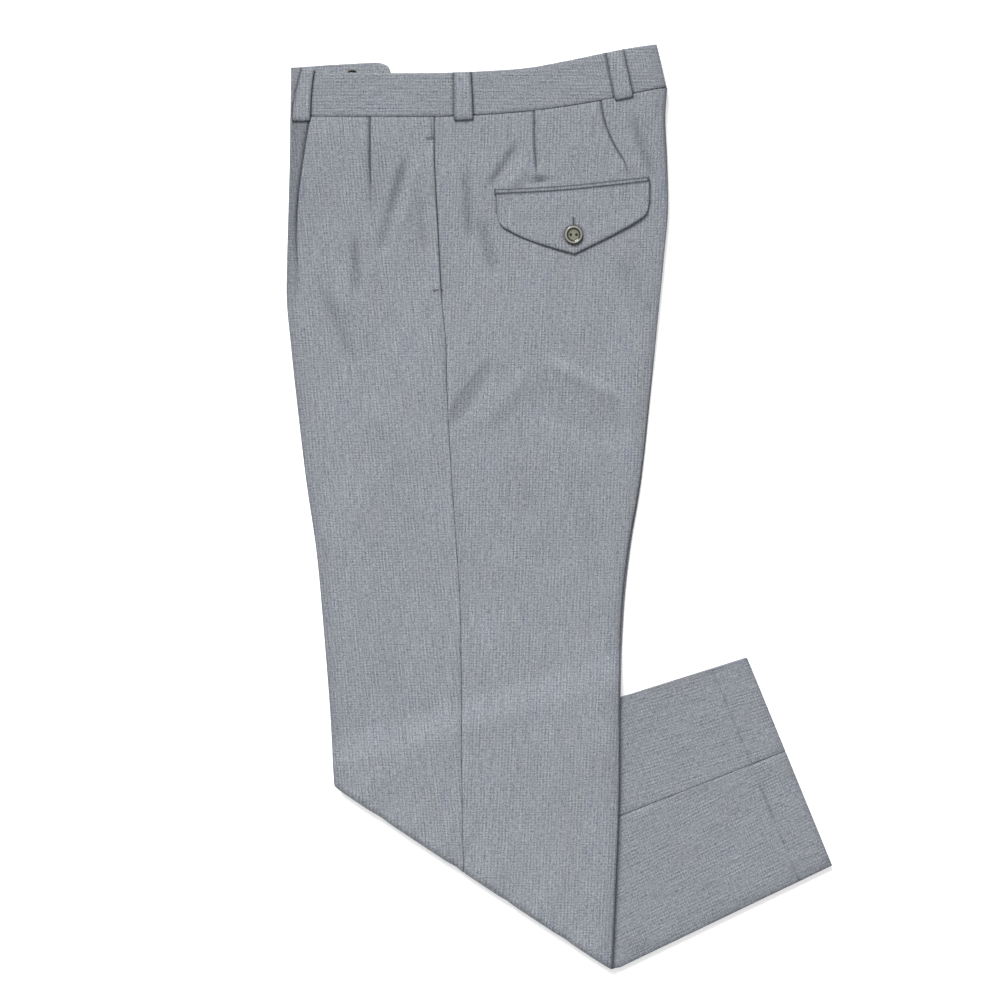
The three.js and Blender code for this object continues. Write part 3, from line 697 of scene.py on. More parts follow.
# %% Shade of a leg panel
# Painted shade: dark lines at the pleats and darts, a darker strip before the first pleat, and shade at the
# crease edges, the climb, the lower leg and the hem.
PLEAT_SHADES = [
    dict(line=PLEAT_ONE, length=196, strength=0.95, strip=0.25),
    dict(line=PLEAT_TWO, length=106, strength=1.0, strip=0),
]
DART_SHADES = [dict(line=DART_ONE, end=60, pucker=0.35), dict(line=DART_TWO, end=56, pucker=0)]
PLEAT_SHADE_SHIFT, DART_SHADE_SHIFT, DART_SHADE = 0.8, 0.6, 0.95
CREASE_SHADE, CLIMB_SHADE, LOWER_LEG_SHADE, TURNING_SHADE, HEM_SHADE = 0.3, 0.5, 0.09, 0.45, 0.3


def near(distance, reach):
    return np.exp(-((distance / reach) ** 2))


def panel_shade(half, x, down, share, width):
    """Painted shade along seams, crease edges, pleats, darts, troughs and the hem, from 0 to 1."""
    from_edge = (share if half == "front" else 1 - share) * width
    from_seam = width - from_edge
    # Painted shade along the side seam, darker at the pocket mouth, and along the waist seam.
    mouth = 1 - ease((down - 160) / 16)
    shade = mix(0.3, 0.8, mouth) * near(from_seam, mix(0.7, 1.0, mouth))
    shade = shade + 0.5 * near(below_waist(x, down), 0.8)
    # Painted shade at the crease edge, and across the climb to damp the highlight of its slope.
    climb = np.clip((down - CLIMB_START(x)) / (CLIMB_END(x) - CLIMB_START(x)), 0, 1)
    shade = shade + CREASE_SHADE * np.exp(-from_edge / 6) + CLIMB_SHADE * climb * (1 - climb)
    # Painted shade in sharp troughs of the upper side; the lower leg past the fold is a little darker
    # overall.
    before_fold = ease(1 + past_fold(x, down) / 30)
    beyond = ease((past_fold(x, down) - 2 * BEND_RADIUS) / 20)
    shade = shade + trough_shade(x, down) * (1 - before_fold) + LOWER_LEG_SHADE * beyond
    # Painted shade along the hem turning and at the hem's edge on the lower leg.
    hem = hem_line(x) - down
    patchy = 0.5 + 0.5 * unevenness(x, down, wavelength=9, seed=14)
    turning = near(hem - HEM_TURNING, 1.1) * patchy
    shade = shade + (TURNING_SHADE * turning + HEM_SHADE * np.exp(-np.abs(hem) / 3)) * beyond
    # Painted shade: a dark line at each pleat's edge and a darker strip before the first pleat.
    for row in PLEAT_SHADES if half == "front" else ():
        offset = past_line(row["line"], down, share, width) + PLEAT_SHADE_SHIFT
        line = np.where(offset < 0, near(offset, 2.0), near(offset, 0.8))
        fade = 1 - ease((down - 0.4 * row["length"]) / (0.6 * row["length"]))
        shade = shade + fade * (row["strength"] * line + row["strip"] * ease(-offset / 2))
    # Painted shade: a dark line beside each dart and a dark patch at the first dart's pucker.
    for row in DART_SHADES if half == "back" else ():
        offset = past_line(row["line"], down, share, width) + DART_SHADE_SHIFT
        shade = shade + DART_SHADE * near(offset, 1.1) * (1 - ease((down - row["end"] + 14) / 14))
        pucker = near(offset - 2, 6) * near(down - row["end"] - 1.5 + 0.25 * offset, 1.6)
        shade = shade + row["pucker"] * pucker
    return np.clip(shade, 0, 1)


print("darkened lines:", len(PLEAT_SHADES) + len(DART_SHADES), "pleats and darts, seams, waist and hem")

# %% [markdown]
# Now the four panels are cut. Each turns round its pressed crease on a half circle and runs
# on as a lip inside the leg, so the fold is real and its edge is round.

# %% Cut the four leg panels
CREASE_LIP, CREASE_STEPS, LIP_COLUMNS, ARC_SHADE = 24.0, 9, 5, 0.4


def panel_grid(leg, half):
    """Outer face of a panel: its points, and its cut as flat positions in millimetres."""
    toward = -1 if half == "front" else 1
    points, cut, shades = [], [], []
    start = waist_line
    for number, stretch in enumerate(STRETCHES):
        shares = row_shares(stretch, leg, number == 0)[:, None]
        from_line, to_line = start, stretch["end"]
        down_at = lambda x: mix(from_line(x), to_line(x), shares)
        edge = meet(down_at, half)
        seam = meet(down_at, "seam")
        if leg == "right" and half == "back":
            edge = edge + leg_at(down_at(edge), "under")
        edge_down = down_at(edge)
        rc = (stack_at(edge, edge_down) - SEAM_GAP) / 4
        width = np.abs(edge - seam)
        distance = column_distances(half, width, edge, toward, down_at, rc)
        flat_x = edge - toward * distance
        flat_down = down_at(flat_x)
        share = distance / width if half == "front" else 1 - distance / width
        relief = panel_relief(leg, half, flat_x, flat_down, share, width)
        angles = np.pi * np.arange(1, CREASE_STEPS + 1) / CREASE_STEPS
        arc_x = edge - toward * rc * (1 - np.sin(angles))
        arc_depth = rc * (1 - np.cos(angles))
        lip_end = seam + toward * SEAM_ROUND if number == OPEN_HEM else edge - toward * CREASE_LIP
        lip_share = np.arange(1, LIP_COLUMNS + 1) / LIP_COLUMNS
        lip_x = mix(edge - toward * rc, lip_end, lip_share)
        lip_depth = 2 * rc + 0 * lip_x
        x = np.hstack([flat_x, arc_x, lip_x])
        arc_fall = edge_fall(rc) * (1 + np.cos(angles)) / 2
        depth = np.hstack([-relief, arc_depth + arc_fall, lip_depth])
        points.append(place_on_leg(leg, x, down_at(x), depth))
        cut_x = np.hstack([
            flat_x,
            edge - toward * rc + toward * rc * angles,
            edge - toward * rc + toward * (np.pi * rc + np.abs(lip_x - (edge - toward * rc))),
        ])
        cut.append(np.stack([cut_x, down_at(x)], -1))
        shade = panel_shade(half, flat_x, flat_down, share, width)
        # Painted shade on the turn round the crease; the lip inside has none.
        shades.append(np.hstack([shade, 0 * arc_x + ARC_SHADE, 0 * lip_x]))
        start = to_line
    return np.vstack(points), np.vstack(cut), np.vstack(shades)


GRAIN = {"front": -0.098, "back": 0.041}
UP, DOWNWARD = (0, 0, 1), (0, 0, -1)
sheets = []


def keep_sheet(piece, nodes, held, rests_on):
    """Notes what a finished sheet stands for and rests on, and prints its cut size."""
    width, length, area = piece["cut"]
    sheets.append(dict(piece=piece, nodes=nodes, held=held, rests_on=rests_on))
    print(piece.name, "cut", round(width, 3), "x", round(length, 3), "m, area", round(area, 4))


for leg in ("left", "right"):
    for half in ("front", "back"):
        outer, cut, shades = panel_grid(leg, half)
        facing = UP if leg == "left" else DOWNWARD
        panel = cloth_piece(f"{leg}_{half}_cloth", outer, cut, facing, shades, grain=GRAIN[half])
        keep_sheet(panel, [f"{leg}_{half}_panel"], "folded", [f"{leg}_inner_leg"])

# %% [markdown]
# Each trouser leg is a tube pressed flat, so behind every outer side lies an inner side. The
# panels already turn under at the creases. One plain sheet from turn to turn closes each
# tube. It is hidden between the legs, so it is cut simply and left smooth.

# %% Inner sides of the legs
INNER_ROWS, INNER_COLUMNS = 18, 30
INNER_GAP, INNER_TOP_SHARE, INNER_END_SHARE = 1.2, 0.02, 0.99


def inner_leg(leg):
    points, cut = [], []
    lines = [waist_line] + [stretch["end"] for stretch in STRETCHES[:OPEN_HEM]]
    for from_line, to_line in zip(lines, lines[1:]):
        last = to_line is lines[-1]
        first_share = INNER_TOP_SHARE if from_line is waist_line else 0
        last_share = INNER_END_SHARE if last else 1
        shares = np.linspace(first_share, last_share, INNER_ROWS, endpoint=last)
        down_at = lambda x, a=from_line, b=to_line, s=shares[:, None]: mix(a(x), b(x), s)
        front = meet(down_at, "front") + CREASE_LIP + INNER_GAP
        back = meet(down_at, "back") - CREASE_LIP - INNER_GAP
        x = mix(front, back, np.linspace(0, 1, INNER_COLUMNS))
        down = down_at(x)
        half_stack = (stack_at(x, down) - SEAM_GAP) / 2
        points.append(place_on_leg(leg, x, down, half_stack))
        cut.append(np.stack([x, down], -1))
    return np.vstack(points), np.vstack(cut)


for leg in ("left", "right"):
    outer, cut = inner_leg(leg)
    facing = DOWNWARD if leg == "left" else UP
    sheet = cloth_piece(f"{leg}_inner_leg", outer, cut, facing, np.zeros(outer.shape[:2]))
    under = "right_inner_leg" if leg == "left" else "right_front_cloth"
    keep_sheet(sheet, ["inner_layers"], "folded", [under])

# %% [markdown]
# The waistband is a stiffened strip folded lengthways over its interlining. It turns round
# the back seam and the front edge like the legs do. On the left half the strip runs on past
# the front edge as the fly extension, folded back behind the band so that its hook shows.

# %% Waistband
BAND_CLOTH, BAND_PROUD, BAND_LIP, TAB_BOTTOM_UP = 1.5, 0.5, 15.0, 1.5
TURN_STEPS, BAND_ROWS = 12, 26
BAND_FRONT, BAND_BACK, TAB_END = 5.0, 362.5, 100.7
TAB_SEAMS = (53.0, 58.0)
BAND_DEEP, BAND_SHADE, HIDDEN_BAND_SHADE, BAND_END_SHADE = 41, 0.08, 0.12, 0.25
LOOPS = [("front", 15.6, 16.8), ("side", 169.6, 17.4), ("back", 321.5, 16.5)]
LOOP_LEAN = {"front": 6.4, "side": -0.4, "back": 0.0}
LOOP_NARROWING = {"front": 0.3, "side": 0.05, "back": 0.05}


def tab_top(x):
    return read_table(TAB_SHAPE, "x", x, "top_up")


def band_grid(leg):
    """Columns from the lip behind the back seam, round it, along the band and round the front."""
    rc = (WAIST_STACK - SEAM_GAP) / 4
    radius = rc + BAND_PROUD / 2
    turn = np.pi * np.arange(TURN_STEPS + 1) / TURN_STEPS
    turn_depth = radius - BAND_PROUD - radius * np.cos(turn)
    behind = 2 * rc + 0 * np.arange(4)
    flat_x = np.linspace(BAND_BACK - 2 * radius, BAND_FRONT + 2 * radius, 300)
    if leg == "left":
        last_x = np.linspace(BAND_FRONT + 2 * radius, TAB_END, 60)
    else:
        last_x = np.linspace(BAND_FRONT + 2 * radius, BAND_FRONT + BAND_LIP, 5)
    x = np.concatenate([
        np.linspace(BAND_BACK - BAND_LIP, BAND_BACK - 2 * radius, 4),
        (BAND_BACK - radius * (1 - np.sin(turn)))[::-1],
        flat_x,
        BAND_FRONT + radius * (1 - np.sin(turn)),
        last_x,
    ])
    depth = np.concatenate([
        behind, turn_depth[::-1], 0 * flat_x - BAND_PROUD, turn_depth, 0 * last_x + 2 * rc,
    ])
    is_tab = np.concatenate([
        0 * behind, 0 * turn, 0 * flat_x, ease((turn - 1.9) / 1.2), 0 * last_x + 1,
    ]) * (leg == "left")
    ends = np.array([0, 0.006, 0.02, 0.05])
    share = np.concatenate([ends, np.linspace(0.09, 0.91, BAND_ROWS), 1 - ends[::-1]])[:, None]
    top = mix(band_at(x, "top_up"), tab_top(x), is_tab)
    bottom = mix(band_at(x, "seam_up") + SEAM_ROUND, TAB_BOTTOM_UP + 0 * x, is_tab)
    across = mix(x, band_at(x, "top_x"), share)
    up = mix(bottom, top - 0.2, share)
    outside = (depth <= 0)[None, :]
    waves = 0.22 * unevenness(across, up, wavelength=34, seed=21)
    waves = waves + 0.12 * unevenness(across, up * 2, wavelength=13, seed=22)
    pressed = 0.3 * np.exp(-(((1 - share) * BAND_DEEP / 2.2) ** 2))
    pressed = pressed + 0.3 * np.exp(-((share * BAND_DEEP / 1.6) ** 2))
    sink = np.where(outside, pressed - waves * ease(share * 8) * ease((1 - share) * 8), 0)
    points = place_on_leg(leg, across, -up, depth[None, :] + np.maximum(sink, -0.25))
    along = np.concatenate([[0], np.cumsum(np.hypot(np.diff(x), np.diff(depth)))])
    cut = np.stack(np.broadcast_arrays(-along[None, :], -up), -1)
    # Painted shade along the band's seam; the outer band is a little darker overall and its hidden faces
    # darker still.
    seam_shade = BAND_SHADE + 0.5 * np.exp(-((share * BAND_DEEP / 0.9) ** 2))
    shade = np.where(outside, seam_shade, HIDDEN_BAND_SHADE)
    # Painted shade at the band's ends.
    for end in (BAND_BACK, BAND_FRONT):
        shade = shade + BAND_END_SHADE * np.exp(-np.abs(x - end) / 6)[None, :] * outside
    # Painted shadow on the band beside each loop's edges.
    for place_name, loop_x, loop_width in LOOPS:
        taper = 1 - LOOP_NARROWING[place_name] * ease(share)
        for side in (-1, 1):
            foot = loop_x + side * (loop_width / 2 + 0.7) * taper + LOOP_LEAN[place_name] * share**1.5
            shade = shade + 0.75 * np.exp(-(((x - foot) / 1.3) ** 2)) * outside
    # Painted shade along the seams of the fly extension.
    for seam in TAB_SEAMS:
        shade = shade + 0.8 * np.exp(-(((x - seam) / 1.1) ** 2))[None, :] * (is_tab == 1)[None, :]
    return points, cut, shade + 0 * across


for leg in ("left", "right"):
    outer, cut, shades = band_grid(leg)
    facing = UP if leg == "left" else DOWNWARD
    band = cloth_piece(f"{leg}_band", outer, cut, facing, shades, BAND_CLOTH, crossways=True)
    keep_sheet(band, [f"{leg}_waistband"], "folded", [f"{leg}_front_cloth", f"{leg}_back_cloth"])

# %% [markdown]
# A belt loop is a narrow strip folded in three and pressed, then sewn down under the band's
# seam and at its top. It bows out a little, to take a belt. A grid with a profile along it
# gives that bow, and the rounded rim stands for the folded long edges.

# %% Belt loops
LOOP_CLOTH, LOOP_BELOW, LOOP_BOW, LOOP_FOOT_CLEAR = 1.1, 4.0, 0.6, 0.5


def belt_loop_grid(leg, x, width, lean, narrowing):
    clear = SEAM_GAP + BAND_PROUD
    foot = -LOOP_BELOW / band_at(x, "top_up")
    stations = [foot, foot * 0.4, -0.02, 0.12, 0.5, 0.88, 0.97, 1]
    outs = [LOOP_FOOT_CLEAR, LOOP_FOOT_CLEAR, clear, clear + LOOP_BOW / 2, clear + LOOP_BOW]
    outs += [clear + LOOP_BOW / 2, clear, clear - 0.2]
    share = np.linspace(foot, 1, 34)[:, None]
    side = np.sin(np.linspace(-1, 1, 15) * math.pi / 2)
    feet = x + side * width / 2
    taper = 1 - narrowing * ease(share)
    across = x + (mix(feet, band_at(feet, "top_x"), share) - x) * taper + lean * np.clip(share, 0, 1) ** 1.5
    up = mix(band_at(feet, "seam_up"), band_at(feet, "top_up"), share)
    out = np.interp(share, stations, outs)
    waves = 0.12 * unevenness(across, up, wavelength=9, seed=31 + int(x))
    depth = -out - LOOP_CLOTH + 0.15 * side**4 - waves * (1 - share**6) * (share > 0)
    # Painted shade along the loop's folded edges and at its foot.
    shade = 0.8 * np.exp(-(1 - np.abs(side)) * 9) + 0.7 * np.exp(-((share - foot) * 34))
    cut = np.stack(np.broadcast_arrays(across, -up), -1)
    return place_on_leg(leg, across, -up, depth), cut, shade + 0 * across


for leg in ("left", "right"):
    for place_name, x, width in LOOPS:
        lean, narrowing = LOOP_LEAN[place_name], LOOP_NARROWING[place_name]
        outer, cut, shades = belt_loop_grid(leg, x, width, lean, narrowing)
        facing = UP if leg == "left" else DOWNWARD
        loop = cloth_piece(f"{leg}_loop_{place_name}", outer, cut, facing, shades, LOOP_CLOTH)
        keep_sheet(loop, [f"{leg}_belt_loop_{place_name}"], "laid", [f"{leg}_band"])

# %% [markdown]
# The back pocket has a single jetting, a narrow folded strip along the mouth, and a pointed
# flap below it that buttons down. Both are flat trims on the panel. The flap's grid follows
# its own outline, so its edge is a real turned edge and the point stays crisp.
#
# Every other cloth here says the flat size that its own grid measures. The jetting can't: it is
# 3.8 mm deep, and a sheet may not be declared under 10 mm. Its flat size is set by hand to that
# smallest length, with an area chosen to suit the strip as modelled. It isn't a measured cut.

# %% Back pocket jetting and flap
TRIM_CLOTH = 1.2
WELT_DEPTH = 3.8
JETTING_CUT = (0.146, 0.010, 0.00075)
WELT_LINE = [
    dict(x=199, down=69.3), dict(x=235, down=67.8), dict(x=272, down=65.3),
    dict(x=308, down=61.5), dict(x=345, down=57.3),
]
FLAP_FRONT_EDGE = [
    dict(x=200.5, down=90), dict(x=204, down=101.5), dict(x=213, down=108.3), dict(x=231, down=116.9),
    dict(x=254.6, down=124.5), dict(x=275, down=130.2),
]
FLAP_BACK_EDGE = [
    dict(x=275, down=130.2), dict(x=288.8, down=123.5), dict(x=311.6, down=112.1), dict(x=336.3, down=97.9),
    dict(x=344, down=90.3), dict(x=346.5, down=79),
]


def welt_top(x):
    return read_table(WELT_LINE, "x", x, "down")


def trim_grid(x, top, bottom, rows, lift, cut_top):
    share = np.concatenate([[0, 0.02, 0.06], np.linspace(0.12, 0.88, rows), [0.94, 0.98, 1]])[:, None]
    down = mix(top, bottom, share)
    to_side = np.minimum(x - x[0], x[-1] - x)
    rim = np.minimum(np.minimum(share * (bottom - top), (1 - share) * (bottom - top)), to_side)
    relief = lift(np.broadcast_to(x, down.shape), down) * ease(rim / 5) - 0.25 * np.exp(-rim / 1.2)
    # Painted shade round the trim's edge, for the shadow under its rim.
    shade = 0.95 * np.exp(-((rim / 1.0) ** 2))
    points = place_on_leg("left", np.broadcast_to(x, down.shape), down, -(SEAM_GAP + TRIM_CLOTH) - relief)
    cut = np.stack(np.broadcast_arrays(x, down - cut_top), -1)
    return points, cut, shade


def no_lift(x, down):
    return 0 * x


welt_x = np.linspace(199, 345, 90)
welt_line = welt_top(welt_x)
outer, cut, shades = trim_grid(welt_x, welt_line, welt_line + WELT_DEPTH, 6, no_lift, welt_line)
welt = cloth_piece("pocket_jetting", outer, cut, UP, shades, TRIM_CLOTH)
welt["cut"] = JETTING_CUT
keep_sheet(welt, ["back_pocket_welt"], "laid", ["left_back_cloth"])

flap_x = np.concatenate([[200.5, 200.8, 201.5], np.linspace(202.5, 344.5, 110), [345.5, 346.2, 346.5]])
flap_bottom = np.where(
    flap_x < BUTTON_X,
    read_table(FLAP_FRONT_EDGE, "x", flap_x, "down"),
    read_table(FLAP_BACK_EDGE, "x", flap_x, "down"),
)


BUTTON_PULLS = [
    dict(start=(262, 103), end=(214, 96), height=-0.25, width=5, lean=0.3),
    dict(start=(286, 102), end=(330, 88), height=-0.25, width=5, lean=0.3),
]
FLAP_ROOM = 0.5


def flap_lift(x, down):
    """Soft waves of the flap, and the two faint drags beside its button."""
    lift = 0.25 * unevenness(x, down, wavelength=26, seed=41)
    lift = lift + 0.2 * unevenness(x, down * 0.6, wavelength=11, seed=42)
    pull = sum(crease(x, down, **row) for row in BUTTON_PULLS)
    return np.maximum(lift + pull, -FLAP_ROOM)


flap_top = welt_top(flap_x) + WELT_DEPTH + SEAM_GAP
outer, cut, shades = trim_grid(flap_x, flap_top, flap_bottom, 50, flap_lift, 0)
# Painted shadow on the flap in a ring round the button.
from_button = np.hypot(cut[..., 0] - BUTTON_X, cut[..., 1] - BUTTON_DOWN)
shades = np.maximum(shades, 0.95 * np.exp(-(((from_button - BUTTON_RADIUS - 0.2) / 1.3) ** 2)))
flap = cloth_piece("pocket_flap", outer, cut, UP, shades, TRIM_CLOTH, grain=GRAIN["back"])
keep_sheet(flap, ["back_pocket_flap"], "laid", ["left_back_cloth"])

# %% [markdown]
# The button is turned from horn: a raised rim, a dished middle and two holes. A lathe profile
# with rounded corners is spun round, and two fine cylinders are cut from it. Spin and a
# boolean keep the real making order: turn the blank, then drill it.

# %% A lathe for the button and the hook
HOLE_APART, HOLE_RADIUS = 5.4, 1.4
BUTTON_PROFILE = [
    (0.0, 0.0), (6.6, 0.0), (7.7, 0.3), (8.3, 0.85), (8.5, 1.35), (8.42, 1.8), (8.1, 2.2), (7.6, 2.4),
    (7.1, 2.4), (6.6, 2.2), (6.2, 1.85), (5.9, 1.6), (5.2, 1.45), (3.0, 1.36), (0.0, 1.34),
]
SPIN_STEPS, SEAT_REACH = 72, 4
DRILL_PROFILE = [(0, -2), (HOLE_RADIUS, -2), (HOLE_RADIUS, 5), (0, 5)]
PLUG_PROFILE = [(0, -0.25), (HOLE_RADIUS, -0.25), (HOLE_RADIUS, 0.5), (0, 0.7)]


def spun(name, profile, steps):
    """A closed turned shape about Z from its profile, in metres."""
    vertices, faces = [], []
    radius = [p for p in profile if p[0] > 0]
    for step in range(steps):
        angle = 2 * math.pi * step / steps
        vertices += [(r * MM * math.cos(angle), r * MM * math.sin(angle), z * MM) for r, z in radius]
    count = len(radius)
    for step in range(steps):
        a, b = step * count, (step + 1) % steps * count
        faces += [(a + i, b + i, b + i + 1, a + i + 1) for i in range(count - 1)]
    bottom, top = len(vertices), len(vertices) + 1
    vertices += [(0, 0, profile[0][1] * MM), (0, 0, profile[-1][1] * MM)]
    for step in range(steps):
        a, b = step * count, (step + 1) % steps * count
        faces += [(bottom, b, a), (top, a + count - 1, b + count - 1)]
    mesh = bpy.data.meshes.new(name)
    mesh.from_pydata(vertices, [], faces)
    mesh.update()
    piece = bpy.data.objects.new(name, mesh)
    bpy.context.scene.collection.objects.link(piece)
    return piece


def settle(piece):
    """Bakes the live modifiers into a plain mesh."""
    depsgraph = bpy.context.evaluated_depsgraph_get()
    mesh = bpy.data.meshes.new_from_object(piece.evaluated_get(depsgraph))
    piece.modifiers.clear()
    old = piece.data
    piece.data = mesh
    if old.users == 0 and isinstance(old, bpy.types.Mesh):
        bpy.data.meshes.remove(old)
    return piece


print("button profile:", len(BUTTON_PROFILE), "points, spun in", SPIN_STEPS, "steps")

# %% [markdown]
# The button leaves the lathe at the origin. Its points are then moved to their place on the flap, so that
# the object itself stays unturned, and black thread plugs fill the two holes. A real thread would be two
# stitches through them, but at this size only its dark ends show; the plugs fill each hole and are black, so
# they are partly that thread and partly painted shade inside the holes.

# %% Drill the button and seat it on the flap
def seat_on_flap(x, down):
    """Point, and the two directions across and up the flap, at a place on its outer face."""
    depth = -(2 * SEAM_GAP + TRIM_CLOTH)
    at = place_on_leg("left", x, down, depth)
    right = unit(place_on_leg("left", x + SEAT_REACH, down, depth) - at)
    upward = unit(place_on_leg("left", x, down - SEAT_REACH, depth) - at)
    return at, right, upward


button = spun("pocket_button", BUTTON_PROFILE, SPIN_STEPS)
for side in (-1, 1):
    drill = spun(f"drill_{side + 1}", DRILL_PROFILE, 20)
    drill.data.transform(Matrix.Translation((side * HOLE_APART / 2 * MM, 0, 0)))
    bore = button.modifiers.new("hole", "BOOLEAN")
    bore.operation = "DIFFERENCE"
    bore.object = drill
    settle(button)
    bpy.data.objects.remove(drill)
seat, right, upward = seat_on_flap(BUTTON_X, BUTTON_DOWN)
normal = np.cross(right, upward)


def on_flap(local):
    """Moves points from the lathe to the button's seat on the flap."""
    return seat + local[:, :1] * right + local[:, 1:2] * np.cross(normal, right) + local[:, 2:] * normal


local = np.array([v.co for v in button.data.vertices])
points = on_flap(local)
button.data.vertices.foreach_set("co", points.astype(np.float32).ravel())
button.data.update()
button.data.polygons.foreach_set("use_smooth", np.ones(len(button.data.polygons), bool))
button.data.set_sharp_from_angle(angle=math.radians(40))
radius = np.hypot(local[:, 0], local[:, 1]) / (BUTTON_RADIUS * MM)
turned = button.data.attributes.new("radius", "FLOAT", "POINT")
turned.data.foreach_set("value", radius.astype(np.float32))
# Black plugs that fill the holes: partly thread, partly painted shade inside the holes.
plugs = []
for side in (-1, 1):
    plug = spun(f"plug_{side + 1}", PLUG_PROFILE, 16)
    shape = np.array([v.co for v in plug.data.vertices]) + (side * HOLE_APART / 2 * MM, 0, 0)
    plugs.append((plug, shape))
vertices = np.vstack([on_flap(shape) for _, shape in plugs])
faces, offset = [], 0
for plug, shape in plugs:
    faces += [[offset + v for v in face.vertices] for face in plug.data.polygons]
    offset += len(shape)
    bpy.data.objects.remove(plug)
button_thread_and_hole_shade = bpy.data.objects.new("button_thread_and_hole_shade", bpy.data.meshes.new("button_thread_and_hole_shade"))
button_thread_and_hole_shade.data.from_pydata(vertices.tolist(), [], faces)
bpy.context.scene.collection.objects.link(button_thread_and_hole_shade)
print("button faces:", len(button.data.polygons))

# %% [markdown]
# The trouser hook is pressed from sheet metal: a round head with a rolled rim, and a tongue
# that is bent back below it and sewn to the extension. Both are turned from a profile and
# joined, and the tongue is squeezed narrow. Only the head's top shows over the band.

# %% Press the trouser hook
HOOK_HEAD = [
    (0.0, 0.0), (5.2, 0.0), (5.6, 0.25), (5.7, 0.55), (5.6, 0.9), (5.3, 1.1), (4.9, 1.05), (4.6, 0.8),
    (4.3, 0.62), (0.0, 0.55),
]
HOOK_TONGUE = [(0.0, 0.1), (5.6, 0.1), (6.0, 0.4), (5.8, 0.75), (5.2, 0.9), (0.0, 0.98)]
HEAD_RADIUS, TONGUE_RADIUS, TONGUE_SQUEEZE = 5.7, 6.0, 0.45
HOOK_CLEAR, HOOK_UP = 0.05, 0.9

hook_low, hook_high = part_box("trouser_hook")
hook_middle = (hook_low.x + hook_high.x) / 2
hook = spun("fly_hook", HOOK_HEAD, 56)
hook_seat = Vector((hook_middle, hook_high.y + (HOOK_UP - HEAD_RADIUS) * MM, hook_low.z + HOOK_CLEAR * MM))
hook.data.transform(Matrix.Translation(hook_seat))
tongue = spun("tongue", HOOK_TONGUE, 40)
tongue.data.transform(Matrix.Diagonal((TONGUE_SQUEEZE, 1, 1, 1)))
tongue_seat = Vector((hook_middle, hook_low.y + TONGUE_RADIUS * MM, hook_seat.z))
tongue.data.transform(Matrix.Translation(tongue_seat))
joined = hook.modifiers.new("joined", "BOOLEAN")
joined.operation = "UNION"
joined.object = tongue
settle(hook)
bpy.data.objects.remove(tongue)
hook.data.polygons.foreach_set("use_smooth", np.ones(len(hook.data.polygons), bool))
hook.data.set_sharp_from_angle(angle=math.radians(50))
print("hook faces:", len(hook.data.polygons))

# %% [markdown]
# Stitches repeat along a path, so Geometry Nodes lay them: the path is cut into equal steps,
# one short thread is set on each step, and it can lie along the path or across it. The same
# tree sews the buttonhole, the bar tacks at the pocket and the short row beside its mouth.

